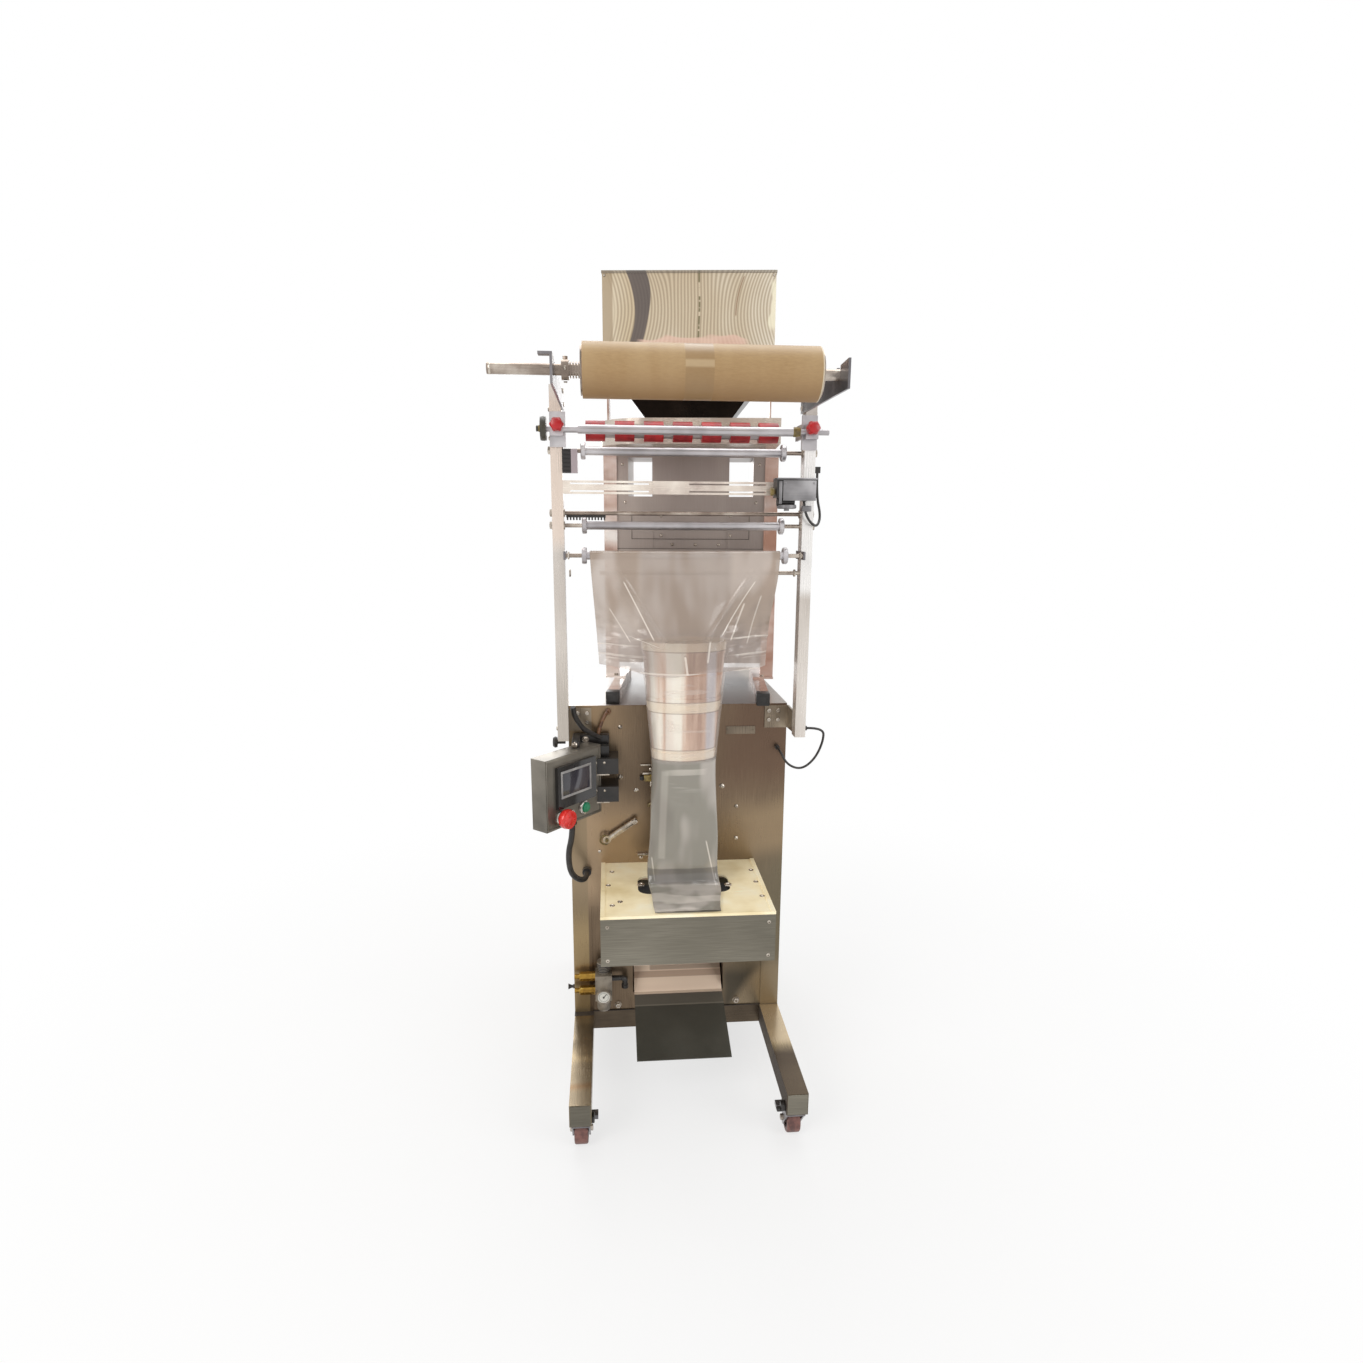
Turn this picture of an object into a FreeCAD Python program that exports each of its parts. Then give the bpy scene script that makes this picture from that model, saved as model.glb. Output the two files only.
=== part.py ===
import FreeCAD, Part
import math
import os

# Vertical snack packing machine on castors, in millimetres.
# X runs to the right, Y runs to the back, Z runs up, and the floor is Z = 0.
# While it is built, X = 0 is the cabinet's middle and Y = 0 its front face.
# At the end the whole machine is shifted so that its footprint is centred.

V = FreeCAD.Vector

# Sheet, plate and fits
sheet = 2.0
plate = 4.0
seat_gap = 0.3
bore_play = 0.05
turn_gap = 5.0
film_gap = 1.0

# Castors
wheel_d = 60.0
wheel_w = 28.0
wheel_round = 4.0
wheel_play = 1.5
axle_d = 8.0
castor_trail = 25.0
castor_plate_l = 50.0
castor_plate_t = 3.0
race_d = 38.0
race_h = 5.0
fork_t = 3.0
fork_gap = 4.0
pedal_w = 18.0
pedal_l = 16.0
pedal_t = 9.0
hub_recess_d = 40.0
hub_recess = 5.0
hub_boss_d = 20.0
fork_round = 16.0

# Base rails and beams
rail_w = 44.0
rail_h = 45.0
rail_reach = 323.0
beam_d = 40.0

# Cabinet
cabinet_w = 480.0
cabinet_d = 460.0
cabinet_h = 735.0
column_w = 42.0
panel_h = 266.0
panel_recess = 3.0
mouth_w = 212.0
mouth_x = 2.0
mouth_low = 43.0
mouth_h = 150.0
mouth_d = 70.0

# Jaw box on the cabinet's front
jaw_box_w = 347.0
jaw_box_reach = 267.0
jaw_box_h = 104.0
jaw_box_drop = 365.0
jaw_mouth_w = 195.0
jaw_mouth_d = 90.0
jaw_mouth_r = 24.0
jaw_mouth_x = 2.0
strip_w = 9.0
strip_t = 2.0
jaw_w = 244.0
jaw_d = 30.0
jaw_h = 36.0
jaw_open = 64.0
jaw_below = 12.0
guide_rod_d = 14.0
guide_rod_x = 108.0

# Discharge chute
chute_w = 206.0
chute_lip_reach = 178.0
chute_lip_z = 108.0
chute_inner_rise = 44.0
chute_inner_d = 40.0
chute_back_rise = 62.0

# Posts and brackets
post_w = 22.0
post_d = 30.0
post_h = 689.0
post_out = 256.0
post_reach = 112.0
post_drop = 49.0
bracket_w = 50.0
bracket_h = 50.0
bracket_drop = 4.0

# Roll arms, roll and shaft
arm_reach = 412.0
arm_h = 46.0
arm_tail = 22.0
arm_lip = 18.0
shaft_d = 18.0
shaft_reach = 355.0
shaft_drop = 14.0
shaft_left = 336.0
shaft_right = 243.0
roll_d = 86.0
roll_wall = 5.0
roll_l = 382.0
roll_x = 5.0
hub_l = 14.0
hub_rim = 3.0
spring_d = 26.0
spring_l = 18.0
spring_turns = 4
set_screw_d = 8.0
set_screw_out = 4.0
collar_d = 32.0
collar_l = 12.0

# Rollers between the posts, as drops from the posts' tops
guide_d = 16.0
guide_l = 380.0
flange_d = 32.0
flange_w = 9.0
flange_edge = 1.5
spindle_d = 8.0
spindle_end = 6.0
tension_drop = 81.0
upper_drop = 118.0
coder_drop = 186.0
tie_drop = 234.5
tie_set = 9.0
lower_drop = 258.0
film_drop = 314.0
bar_drop = 350.0
film_roller_reach = 142.0
tie_d = 8.0
bar_l = 400.0
tension_d = 17.0
tension_spindle_d = 11.0
tension_l = 417.0
tension_x = 5.5
clamp_t = 6.0
clamp_d = 18.0
clamp_w = 30.0
clamp_h = 64.0
clamp_block_h = 26.0
hand_wheel_d = 43.0
hand_wheel_w = 11.0
spindle_tail = 20.0
knob_d = 22.0
knob_l = 14.0
knob_rise = 6.0
pull_d = 26.0
pull_l = 380.0
pull_reach = 56.0
pull_drop = 77.0
sleeve_d = 39.0
sleeve_w = 38.0
sleeves = 7
ear_h = 28.0

# Date coder
coder_rail_l = 408.0
coder_rail_h = 25.0
coder_rail_t = 6.0
coder_slot_h = 3.0
coder_slot_pitch = 14.0
coder_tag_w = 62.0
coder_box_w = 77.0
coder_box_h = 36.0
coder_box_d = 38.0
lamp_d = 16.0
lamp_l = 34.0

# Film former
tube_reach = 121.0
former_h = 249.0
former_drop = 90.0
former_top_w = 170.0
former_top_d = 104.0
former_low_w = 126.0
former_low_d = 78.0
former_wall = 1.5
band_h = 24.0
band_t = 1.5
former_bracket_w = 80.0
former_bracket_h = 14.0

# Film
film_t = 1.5
film_half = 184.0
film_wing_half = 170.0
film_fold_half = 58.0
film_hem_drop = 231.0
film_wing_reach = 78.0
tail_w = 150.0
tail_d = 34.0
tail_bend = 30.0
tail_t = 5.0
tail_lap = 8.0

# Filler on the cabinet, turned a little clockwise seen from above
filler_turn = -6.4
filler_x = 19.0
filler_y = -5.0
foot_w = 26.0
foot_l = 330.0
foot_x = 164.0
upright_w = 30.0
upright_x = 184.0
upright_y = 205.0
upright_h = 520.0
foot_pad_l = 60.0
cheek_w = 26.0
cheek_h = 104.0
housing_d = 150.0
housing_h = 386.0
housing_set = 6.0
bucket_w = 176.0
bucket_d = 120.0
hatch_w = 172.0
hatch_h = 42.0
hatch_d = 3.0
hatch_drop = 75.0
bed_t = 18.0
tray_h = 52.0
tray_w = 390.0
tray_d = 250.0
tray_x = -5.0
tray_front = 50.0
tray_round = 110.0
hopper_w = 360.0
hopper_d = 280.0
hopper_h = 176.0
hopper_x = -5.0
hopper_front = 90.0
funnel_h = 112.0
funnel_w = 184.0
funnel_d = 150.0
funnel_clear = 6.0
hopper_wall = 2.5
rim_w = 1.5
rim_h = 5.0
stay_w = 30.0

# Control box, turned towards the operator
box_w = 165.0
box_h = 150.0
box_t = 40.0
box_turn = 49.5
box_x = -278.0
box_y = -176.0
box_drop = 223.0
screen_w = 114.0
screen_h = 88.0
screen_t = 8.0
screen_x = 27.0
screen_z = 43.0
stop_d = 38.0
stop_l = 14.0
stop_lift = 12.0
stop_stem_d = 16.0
stop_stem_l = 18.0
stop_x = 40.0
stop_z = 23.0
stop_travel = 6.0
start_d = 22.0
start_l = 9.0
start_x = 108.0
start_z = 27.0
start_travel = 3.0
ring_d = 30.0
ring_t = 5.0
hinge_w = 38.0
hinge_h = 34.0
hinge_pitch = 62.0
hinge_z = 24.0
hinge_out = 69.0
hinge_reach = 60.0

# Cords and their glands
hose_d = 12.5
cable_d = 5.0
gland_l = 12.0
hose_gland_d = 20.0
cable_gland_d = 10.0
run_share = 0.45
hose_in_x = -232.0
hose_in_y = -91.0
hose_out_x = -206.0
hose_out_drop = 381.0
hose_bends = ((0, 0, -26), (-11, 3, -70), (-5, 5, -121))
hose_last = 48.0
side_x = 219.0
side_drop = 98.0
side_end_drop = 33.0
side_bends = ((0, -33, 0), (14, -41, -28), (47, -36, -41), (75, -42, -15), (85, -68, 33))
side_last = 36.0
coder_out_x = 232.0
coder_end_drop = 155.0
coder_bends = ((0, 0, -13), (9, -5, -37), (28, 5, -50), (42, 32, -28))
coder_last = 43.0
clip_w = 13.0

# Ribbed blocks inside the left post
block_w = 15.0
block_h = 44.0
block_d = 18.0
block_drop = 160.0
ribs = 6
rib_depth = 3.0
side_block_w = 14.0

# Lever on the cabinet's front
lever_boss_d = 18.0
lever_pin_d = 8.0
lever_l = 80.0
lever_w = 11.0
lever_t = 6.0
lever_stand = 10.0
lever_x = -160.0
lever_drop = 303.0
lever_turn = -34.0

# Air regulator beside the chute
air_w = 38.0
air_h = 124.0
air_d = 40.0
air_set = 26.0
air_lift = 14.0
air_head_h = 62.0
air_neck_d = 24.0
air_neck_h = 6.0
air_knob_d = 30.0
air_bowl_d = 32.0
air_bowl_h = 34.0
gauge_d = 34.0
gauge_t = 12.0
fitting_d = 18.0
fitting_l = 34.0
fitting_tip_d = 11.0
fitting_tip_l = 14.0

rail_low = wheel_d + fork_gap + fork_t + race_h + seat_gap + castor_plate_t
rail_top = rail_low + rail_h
deck_z = rail_top + cabinet_h
rail_x = cabinet_w / 2 - rail_w / 2
jaw_deck = deck_z - jaw_box_drop
jaw_x = jaw_mouth_x
jaw_top = jaw_deck - plate - jaw_below
post_low = deck_z - post_drop
post_top = post_low + post_h
post_in = post_out - post_w
post_mid = -post_reach + post_d / 2
post_back = -post_reach + post_d
shaft_z = post_top - shaft_drop
former_low = deck_z - former_drop
former_top = former_low + former_h
film_z = post_top - film_drop
film_y = -film_roller_reach
deck_feet = deck_z + foot_w
tray_low = deck_feet + plate + upright_h
tray_top = tray_low + tray_h
funnel_low = tray_top + funnel_clear
hopper_low = funnel_low + funnel_h
housing_top = tray_low - cheek_h
box_low = deck_z - box_drop
hinge_x = -cabinet_w / 2 + hinge_out
air_x = -cabinet_w / 2 + column_w + air_set
air_low = rail_top + air_lift


def box(x0, x1, y0, y1, z0, z1):
    return Part.makeBox(x1 - x0, y1 - y0, z1 - z0, V(x0, y0, z0))


def rod_x(d, x0, x1, y, z):
    return Part.makeCylinder(d / 2, x1 - x0, V(x0, y, z), V(1, 0, 0))


def rod_y(d, y0, y1, x, z):
    return Part.makeCylinder(d / 2, y1 - y0, V(x, y0, z), V(0, 1, 0))


def rod_z(d, z0, z1, x, y):
    return Part.makeCylinder(d / 2, z1 - z0, V(x, y, z0), V(0, 0, 1))


def profile_x(points, x0, x1):
    wire = Part.makePolygon([V(x0, y, z) for y, z in points + points[:1]])
    return Part.Face(wire).extrude(V(x1 - x0, 0, 0))


def oval(w, d, z):
    curve = Part.Ellipse(V(0, -tube_reach, z), w / 2, d / 2)
    return Part.Wire([curve.toShape()])


def upright_edges(shape):
    return [e for e in shape.Edges if abs(e.Vertexes[0].Z - e.Vertexes[-1].Z) > 0.5]


def rounded(shape, radius):
    return shape.makeFillet(radius, upright_edges(shape))


def mirrored(shape):
    return shape.mirror(V(0, 0, 0), V(1, 0, 0))


def both_sides(shape):
    return Part.makeCompound([shape, mirrored(shape)])


def turned_filler(shape):
    out = shape.copy()
    out.rotate(V(0, 0, 0), V(0, 0, 1), filler_turn)
    out.translate(V(filler_x, filler_y, 0))
    return out


def turned_box(shape):
    out = shape.copy()
    out.rotate(V(0, 0, 0), V(0, 0, 1), box_turn)
    out.translate(V(box_x, box_y, box_low))
    return out


nodes = {}
cords = []
castor_places = {
    "front_left": (-rail_x, -rail_reach + castor_plate_l / 2),
    "front_right": (rail_x, -rail_reach + castor_plate_l / 2),
    "back_left": (-rail_x, cabinet_d - castor_plate_l / 2 - castor_trail),
    "back_right": (rail_x, cabinet_d - castor_plate_l / 2 - castor_trail),
}


def fork_cheek(front, back, wheel_y, wheel_z, top):
    lobe = wheel_z - fork_round / 2
    points = [V(0, back, wheel_z), V(0, back, top), V(0, front, top), V(0, wheel_y - axle_d, lobe)]
    edges = [Part.LineSegment(a, b).toShape() for a, b in zip(points, points[1:])]
    edges.append(Part.Arc(points[3], V(0, wheel_y, wheel_z - fork_round), points[0]).toShape())
    return Part.Face(Part.Wire(edges))


def castor_fork(x, y, braked):
    crown_top = wheel_d + fork_gap + fork_t
    wheel_y = y + castor_trail
    wheel_z = wheel_d / 2
    half = wheel_w / 2 + wheel_play
    race = rod_z(race_d, crown_top, crown_top + race_h, x, y)
    front = y - race_d / 2
    back = wheel_y + axle_d
    crown = box(x - half - fork_t, x + half + fork_t, front, back, crown_top - fork_t, crown_top)
    cheek = fork_cheek(front, back, wheel_y, wheel_z, crown_top)
    left = cheek.extrude(V(fork_t, 0, 0)).translated(V(x - half - fork_t, 0, 0))
    right = cheek.extrude(V(fork_t, 0, 0)).translated(V(x + half, 0, 0))
    axle = rod_x(axle_d, x - half - 2 * fork_t, x + half + 2 * fork_t, wheel_y, wheel_z)
    pieces = [crown, left, right, axle]
    if braked:
        inward = -pedal_l if x > 0 else 0
        root = x - half - fork_t if x > 0 else x + half + fork_t
        pieces.append(box(root + inward, root + inward + pedal_l, wheel_y - pedal_w / 2, wheel_y + pedal_w / 2,
                          crown_top - fork_t - pedal_t, crown_top - fork_t))
    return race.fuse(pieces).removeSplitter()


def castor_wheel(x, y):
    tyre = rod_x(wheel_d, x - wheel_w / 2, x + wheel_w / 2, y, wheel_d / 2)
    rims = [e for e in tyre.Edges if abs(e.Length - math.pi * wheel_d) < 0.5]
    tyre = tyre.makeFillet(wheel_round, rims)
    for side in (-1, 1):
        face = x + side * wheel_w / 2
        x0, x1 = sorted((face - side * hub_recess, face + side))
        ring = rod_x(hub_recess_d, x0, x1, y, wheel_d / 2)
        tyre = tyre.cut(ring.cut(rod_x(hub_boss_d, x0 - 1, x1 + 1, y, wheel_d / 2)))
    return tyre.cut(rod_x(axle_d + 2 * bore_play, x - wheel_w, x + wheel_w, y, wheel_d / 2))


def make_base():
    for side, name in ((-1, "left_rail"), (1, "right_rail")):
        middle = side * rail_x
        rail = box(middle - rail_w / 2, middle + rail_w / 2, -rail_reach, cabinet_d, rail_low, rail_top)
        plates = []
        for place, (x, y) in castor_places.items():
            if x * side > 0:
                plates.append(box(x - rail_w / 2, x + rail_w / 2, y - castor_plate_l / 2,
                                  y + castor_plate_l / 2, rail_low - castor_plate_t, rail_low))
        nodes[name] = rail.fuse(plates)
    half = cabinet_w / 2 - rail_w
    front = box(-half, half, 0, beam_d, rail_low, rail_top)
    back = box(-half, half, cabinet_d - beam_d, cabinet_d, rail_low, rail_top)
    nodes["cross_beams"] = Part.makeCompound([front, back])
    for place, (x, y) in castor_places.items():
        nodes["castor_fork_" + place] = castor_fork(x, y, place.startswith("front"))
        nodes["castor_wheel_" + place] = castor_wheel(x, y + castor_trail)


def make_cabinet():
    half = cabinet_w / 2
    body = box(-half, half, 0, cabinet_d, rail_top, deck_z)
    recess = box(-half + column_w, half - column_w, -1, panel_recess, rail_top, rail_top + panel_h)
    mouth = box(mouth_x - mouth_w / 2, mouth_x + mouth_w / 2, -1, mouth_d, rail_top + mouth_low,
                rail_top + mouth_low + mouth_h)
    pin = rod_y(lever_pin_d, -lever_stand - lever_t, 0, lever_x, deck_z - lever_drop)
    nodes["cabinet"] = body.cut(recess).cut(mouth).fuse(pin)


def make_chute():
    x0 = mouth_x - chute_w / 2
    x1 = mouth_x + chute_w / 2
    sill = rail_top + mouth_low
    over = [(-chute_lip_reach, chute_lip_z), (0, sill), (chute_inner_d, sill + chute_inner_rise),
            (mouth_d, sill + chute_inner_rise + chute_back_rise)]
    under = [(y, z + sheet) for y, z in reversed(over)]
    run = [(y, z) for y, z in over] + under
    nodes["chute"] = profile_x(run, x0, x1)


def make_jaw_box():
    half = jaw_box_w / 2
    top = box(-half, half, -jaw_box_reach, 0, jaw_deck - plate, jaw_deck)
    mouth = box(jaw_mouth_x - jaw_mouth_w / 2, jaw_mouth_x + jaw_mouth_w / 2, -tube_reach - jaw_mouth_d / 2,
                -tube_reach + jaw_mouth_d / 2, jaw_deck - 2 * plate, jaw_deck + plate)
    strips = both_sides(box(half - strip_w, half, -jaw_box_reach, 0, jaw_deck, jaw_deck + strip_t))
    lip = box(-half, half, -jaw_box_reach, -jaw_box_reach + sheet, jaw_deck, jaw_deck + strip_t)
    nodes["jaw_deck"] = top.cut(rounded(mouth, jaw_mouth_r)).fuse([strips, lip])
    low = jaw_deck - jaw_box_h
    high = jaw_deck - plate
    cover = box(-half, half, -jaw_box_reach, 0, low, high)
    inside = box(-half + sheet, half - sheet, -jaw_box_reach + sheet, 1, low - 1, high + 1)
    nodes["jaw_cover"] = cover.cut(inside)
    rod_z_mid = jaw_top - jaw_h / 2
    rods = []
    bores = []
    for side in (-1, 1):
        x = jaw_x + side * guide_rod_x
        rods.append(rod_y(guide_rod_d, -jaw_box_reach + sheet, 0, x, rod_z_mid))
        bores.append(rod_y(guide_rod_d + 2 * bore_play, -jaw_box_reach, 1, x, rod_z_mid))
    nodes["jaw_guides"] = Part.makeCompound(rods)
    for side, name in ((-1, "front_jaw"), (1, "back_jaw")):
        near = -tube_reach + side * jaw_open / 2
        far = near + side * jaw_d
        bar = box(jaw_x - jaw_w / 2, jaw_x + jaw_w / 2, min(near, far), max(near, far), jaw_top - jaw_h, jaw_top)
        nodes[name] = bar.cut(bores[0]).cut(bores[1])


def make_posts():
    post = box(post_in, post_out, -post_reach, post_back, post_low, post_top)
    for drop, d, y in ((upper_drop, spindle_d, post_mid), (lower_drop, spindle_d, post_mid),
                       (tie_drop, tie_d, post_mid + tie_set)):
        post = post.cut(rod_x(d + 2 * bore_play, post_in - 1, post_out + 1, y, post_top - drop))
    nodes["posts"] = both_sides(post)
    wall = cabinet_w / 2
    z1 = deck_z - bracket_drop
    z0 = z1 - bracket_h
    face = box(wall - bracket_w, wall, -plate, 0, z0, z1)
    leg = profile_x([(0, z0), (0, z1), (post_back, z1), (post_back, post_low)], wall, wall + plate)
    nodes["post_brackets"] = both_sides(face.fuse(leg.fuse(box(wall, wall + plate, -plate, 0, z0, z1))))


def make_roll():
    z1 = post_top + 3
    z0 = z1 - arm_h
    outline = [(post_back, z0), (post_back, z1 - arm_tail), (-arm_reach, z1), (-arm_reach, z0)]
    arm = profile_x(outline, post_in - plate, post_in)
    notch_d = shaft_d + 2 * bore_play
    arm = arm.cut(rod_x(notch_d, post_in - 2 * plate, post_in + plate, -shaft_reach, shaft_z))
    arm = arm.cut(box(post_in - 2 * plate, post_in + plate, -shaft_reach - notch_d / 2, -shaft_reach + notch_d / 2,
                      shaft_z, z1 + 5))
    lip = box(post_in, post_in + arm_lip, -arm_reach, -arm_reach + arm_lip, z1 - plate, z1)
    nodes["roll_arms"] = Part.makeCompound([arm, mirrored(arm.fuse(lip))])
    x0 = roll_x - roll_l / 2
    x1 = roll_x + roll_l / 2
    bore_d = roll_d - 2 * roll_wall
    core = rod_x(roll_d, x0, x1, -shaft_reach, shaft_z)
    nodes["film_roll"] = core.cut(rod_x(bore_d, x0 - 1, x1 + 1, -shaft_reach, shaft_z))
    shaft = rod_x(shaft_d, -shaft_left, shaft_right, -shaft_reach, shaft_z)
    hub_d = bore_d - 2 * bore_play
    rim_d = roll_d - 8
    spring_x = x0 - hub_rim - spring_l
    turned = [
        rod_x(hub_d, x0, x0 + hub_l, -shaft_reach, shaft_z),
        rod_x(rim_d, x0 - hub_rim, x0, -shaft_reach, shaft_z),
        rod_x(hub_d, x1 - hub_l, x1, -shaft_reach, shaft_z),
        rod_x(rim_d, x1, x1 + hub_rim, -shaft_reach, shaft_z),
        rod_x(collar_d, spring_x - collar_l, spring_x, -shaft_reach, shaft_z),
    ]
    step = spring_l / spring_turns
    for turn in range(spring_turns):
        x = spring_x + turn * step + step / 4
        turned.append(rod_x(spring_d, x, x + step / 2, -shaft_reach, shaft_z))
    screw = rod_z(set_screw_d, shaft_z, shaft_z + collar_d / 2 + set_screw_out, spring_x - collar_l / 2, -shaft_reach)
    nodes["roll_shaft"] = shaft.fuse(turned + [screw])


def guide_roller(y, z):
    half = guide_l / 2
    body = rod_x(guide_d, -half, half, y, z)
    ends = []
    for x in (-half - flange_w, half):
        rim = rod_x(flange_d, x, x + flange_w, y, z)
        ends.append(rim.makeChamfer(flange_edge, [e for e in rim.Edges if len(e.Vertexes) == 1]))
    bore = rod_x(spindle_d + 2 * bore_play, -half - 2 * flange_w, half + 2 * flange_w, y, z)
    return body.fuse(ends).cut(bore)


def make_guide_rollers():
    reach = post_out + spindle_end
    nodes["upper_guide_roller"] = guide_roller(post_mid, post_top - upper_drop)
    nodes["lower_guide_roller"] = guide_roller(post_mid, post_top - lower_drop)
    nodes["film_guide_roller"] = guide_roller(film_y, film_z)
    rods = [rod_x(spindle_d, -reach, reach, post_mid, post_top - upper_drop),
            rod_x(spindle_d, -reach, reach, post_mid, post_top - lower_drop),
            rod_x(tie_d, -reach, reach, post_mid + tie_set, post_top - tie_drop),
            rod_x(spindle_d, -post_in, post_in, film_y, film_z),
            rod_x(tie_d, post_in - bar_l, post_in, post_mid, post_top - bar_drop)]
    nodes["cross_rods"] = Part.makeCompound(rods)


def make_tension_roller():
    z = post_top - tension_drop
    y = -post_reach - clamp_t - clamp_d / 2
    spindle_x = post_out + turn_gap
    bore = rod_x(tension_spindle_d + 2 * bore_play, -2 * post_out, 2 * post_out, y, z)
    spindle = rod_x(tension_spindle_d, -spindle_x, post_out + spindle_tail, y, z)
    wheel = rod_x(hand_wheel_d, -spindle_x - hand_wheel_w, -spindle_x, y, z)
    roller = rod_x(tension_d, tension_x - tension_l / 2, tension_x + tension_l / 2, y, z)
    nodes["tension_roller"] = spindle.fuse([roller])
    nodes["hand_wheel"] = wheel.fuse(rod_x(tension_spindle_d, -spindle_x - hand_wheel_w - 8,
                                           -spindle_x - hand_wheel_w, y, z))
    x0 = post_out - clamp_w
    low = z - clamp_h / 2
    back = box(x0, post_out, -post_reach - clamp_t, -post_reach, low, low + clamp_h)
    block = box(x0 + 4, post_out - 2, -post_reach - clamp_t - clamp_d, -post_reach - clamp_t,
                z - clamp_block_h / 2, z + clamp_block_h / 2)
    nodes["roller_clamps"] = both_sides(back.fuse(block).cut(bore))
    front = -post_reach - clamp_t - clamp_d
    knob = rod_y(knob_d, front - knob_l, front, x0 + clamp_w / 2, z + knob_rise)
    nodes["clamp_knobs"] = both_sides(knob)


def make_pull_roller():
    z = post_top - pull_drop
    half = pull_l / 2
    body = rod_x(pull_d, -half, half, -pull_reach, z)
    stub = rod_x(spindle_d, -post_in, post_in, -pull_reach, z)
    nodes["pull_roller"] = body.fuse(stub)
    pitch = (pull_l - sleeve_w) / (sleeves - 1)
    rings = []
    for i in range(sleeves):
        x0 = -half + i * pitch
        ring = rod_x(sleeve_d, x0, x0 + sleeve_w, -pull_reach, z)
        rings.append(ring.cut(rod_x(pull_d, x0 - 1, x0 + sleeve_w + 1, -pull_reach, z)))
    nodes["pull_sleeves"] = Part.makeCompound(rings)


def make_roller_ears():
    x0 = post_in - plate
    z = post_top - pull_drop
    upper = box(x0, post_in, -post_reach, -pull_reach + ear_h / 2, z - ear_h / 2, z + ear_h / 2)
    upper = upper.cut(rod_x(spindle_d + 2 * bore_play, 0, post_out, -pull_reach, z))
    lower = box(x0, post_in, film_y - spindle_d, post_back, film_z - spindle_d, film_z + spindle_d)
    lower = lower.cut(rod_x(spindle_d + 2 * bore_play, 0, post_out, film_y, film_z))
    nodes["roller_ears"] = Part.makeCompound([upper, mirrored(upper), lower, mirrored(lower)])


def make_coder():
    z = post_top - coder_drop
    x1 = -post_in + coder_rail_l
    y0 = -post_reach
    z0 = z - coder_rail_h / 2
    rail = box(-post_in, x1, y0, y0 + coder_rail_t, z0, z0 + coder_rail_h)
    tag_x = (x1 - post_in - coder_tag_w) / 2
    for low, high in ((-post_in + 14, tag_x - 8), (tag_x + coder_tag_w + 8, x1 - 14)):
        for slot_z in (z - coder_slot_pitch / 2, z + coder_slot_pitch / 2):
            rail = rail.cut(box(low, high, y0 - 1, y0 + coder_rail_t + 1, slot_z - coder_slot_h / 2,
                                slot_z + coder_slot_h / 2))
    tag = box(tag_x, tag_x + coder_tag_w, y0 - sheet, y0, z0, z0 + coder_rail_h)
    nodes["coder_rail"] = rail.fuse(tag)
    head = box(x1, x1 + coder_box_w, y0 - coder_box_d, y0, z - coder_box_h / 2, z + coder_box_h / 2)
    lamp = rod_x(lamp_d, x1 + 4, x1 + 4 + lamp_l, y0 - coder_box_d / 2, z - coder_box_h / 2 - lamp_d / 2 + 1)
    nodes["date_coder"] = head.fuse(lamp)


def former_size(z):
    share = (z - former_low) / former_h
    w = former_low_w + share * (former_top_w - former_low_w)
    d = former_low_d + share * (former_top_d - former_low_d)
    return w, d


def former_solid(z0, z1, grow):
    w0, d0 = former_size(z0)
    w1, d1 = former_size(z1)
    return Part.makeLoft([oval(w0 + 2 * grow, d0 + 2 * grow, z0), oval(w1 + 2 * grow, d1 + 2 * grow, z1)],
                         True, True)


def make_former():
    skin = former_solid(former_low, former_top, 0)
    hollow = former_solid(former_low, former_top, -former_wall)
    bands = []
    for z in (former_low, former_low + (former_h - band_h) / 2, former_top - band_h):
        bands.append(former_solid(z, z + band_h, band_t))
    z0 = former_low + band_h + sheet
    arm = box(-former_bracket_w / 2, former_bracket_w / 2, -tube_reach, 0, z0, z0 + former_bracket_h)
    nodes["former"] = skin.fuse(bands + [arm]).cut(hollow)


def film_section(z, fold, wing, front_y, wing_y):
    near = [V(-wing, wing_y, z), V(-fold, front_y, z), V(fold, front_y, z), V(wing, wing_y, z)]
    far = [V(p.x, p.y + film_t, z) for p in reversed(near)]
    return Part.makePolygon(near + far + near[:1])


def make_film():
    roller_front = film_y - guide_d / 2 - film_gap - film_t
    rim_z = former_top + turn_gap
    rim_y = -tube_reach - former_top_d / 2 - band_t - film_gap - film_t
    hem_z = film_z - film_hem_drop
    share = (film_z - rim_z) / film_hem_drop
    fold = film_half * 0.75 + share * (film_fold_half - film_half * 0.75)
    wing_y = roller_front + share * (-film_wing_reach - roller_front)
    wing = film_half + share * (film_wing_half - film_half)
    sections = [film_section(film_z, film_half * 0.75, film_half, roller_front, roller_front + 0.01),
                film_section(rim_z, fold, wing, rim_y, wing_y),
                film_section(hem_z, film_fold_half, film_wing_half, rim_y, -film_wing_reach)]
    nodes["film_sheet"] = Part.makeLoft(sections, True, True)
    bend_z = jaw_deck + tail_bend
    tube = Part.makeLoft([oval(former_low_w, former_low_d, former_low - seat_gap),
                          oval(tail_w, tail_d, bend_z)], True, True)
    deck = jaw_deck + seat_gap
    back = -tube_reach + tail_d / 2
    front = -tube_reach - tail_d / 2
    lie = -tube_reach - jaw_mouth_d / 2 - tail_lap
    end = -jaw_box_reach + tail_lap
    tail = profile_x([(back, bend_z), (front, bend_z), (lie, deck + 2 * tail_t), (end, deck + tail_t), (end, deck),
                      (lie, deck), (front, deck + 2 * tail_t), (back, bend_z - 2 * tail_t)],
                     -tail_w / 2, tail_w / 2)
    nodes["film_tube"] = tube.fuse(tail)


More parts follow.
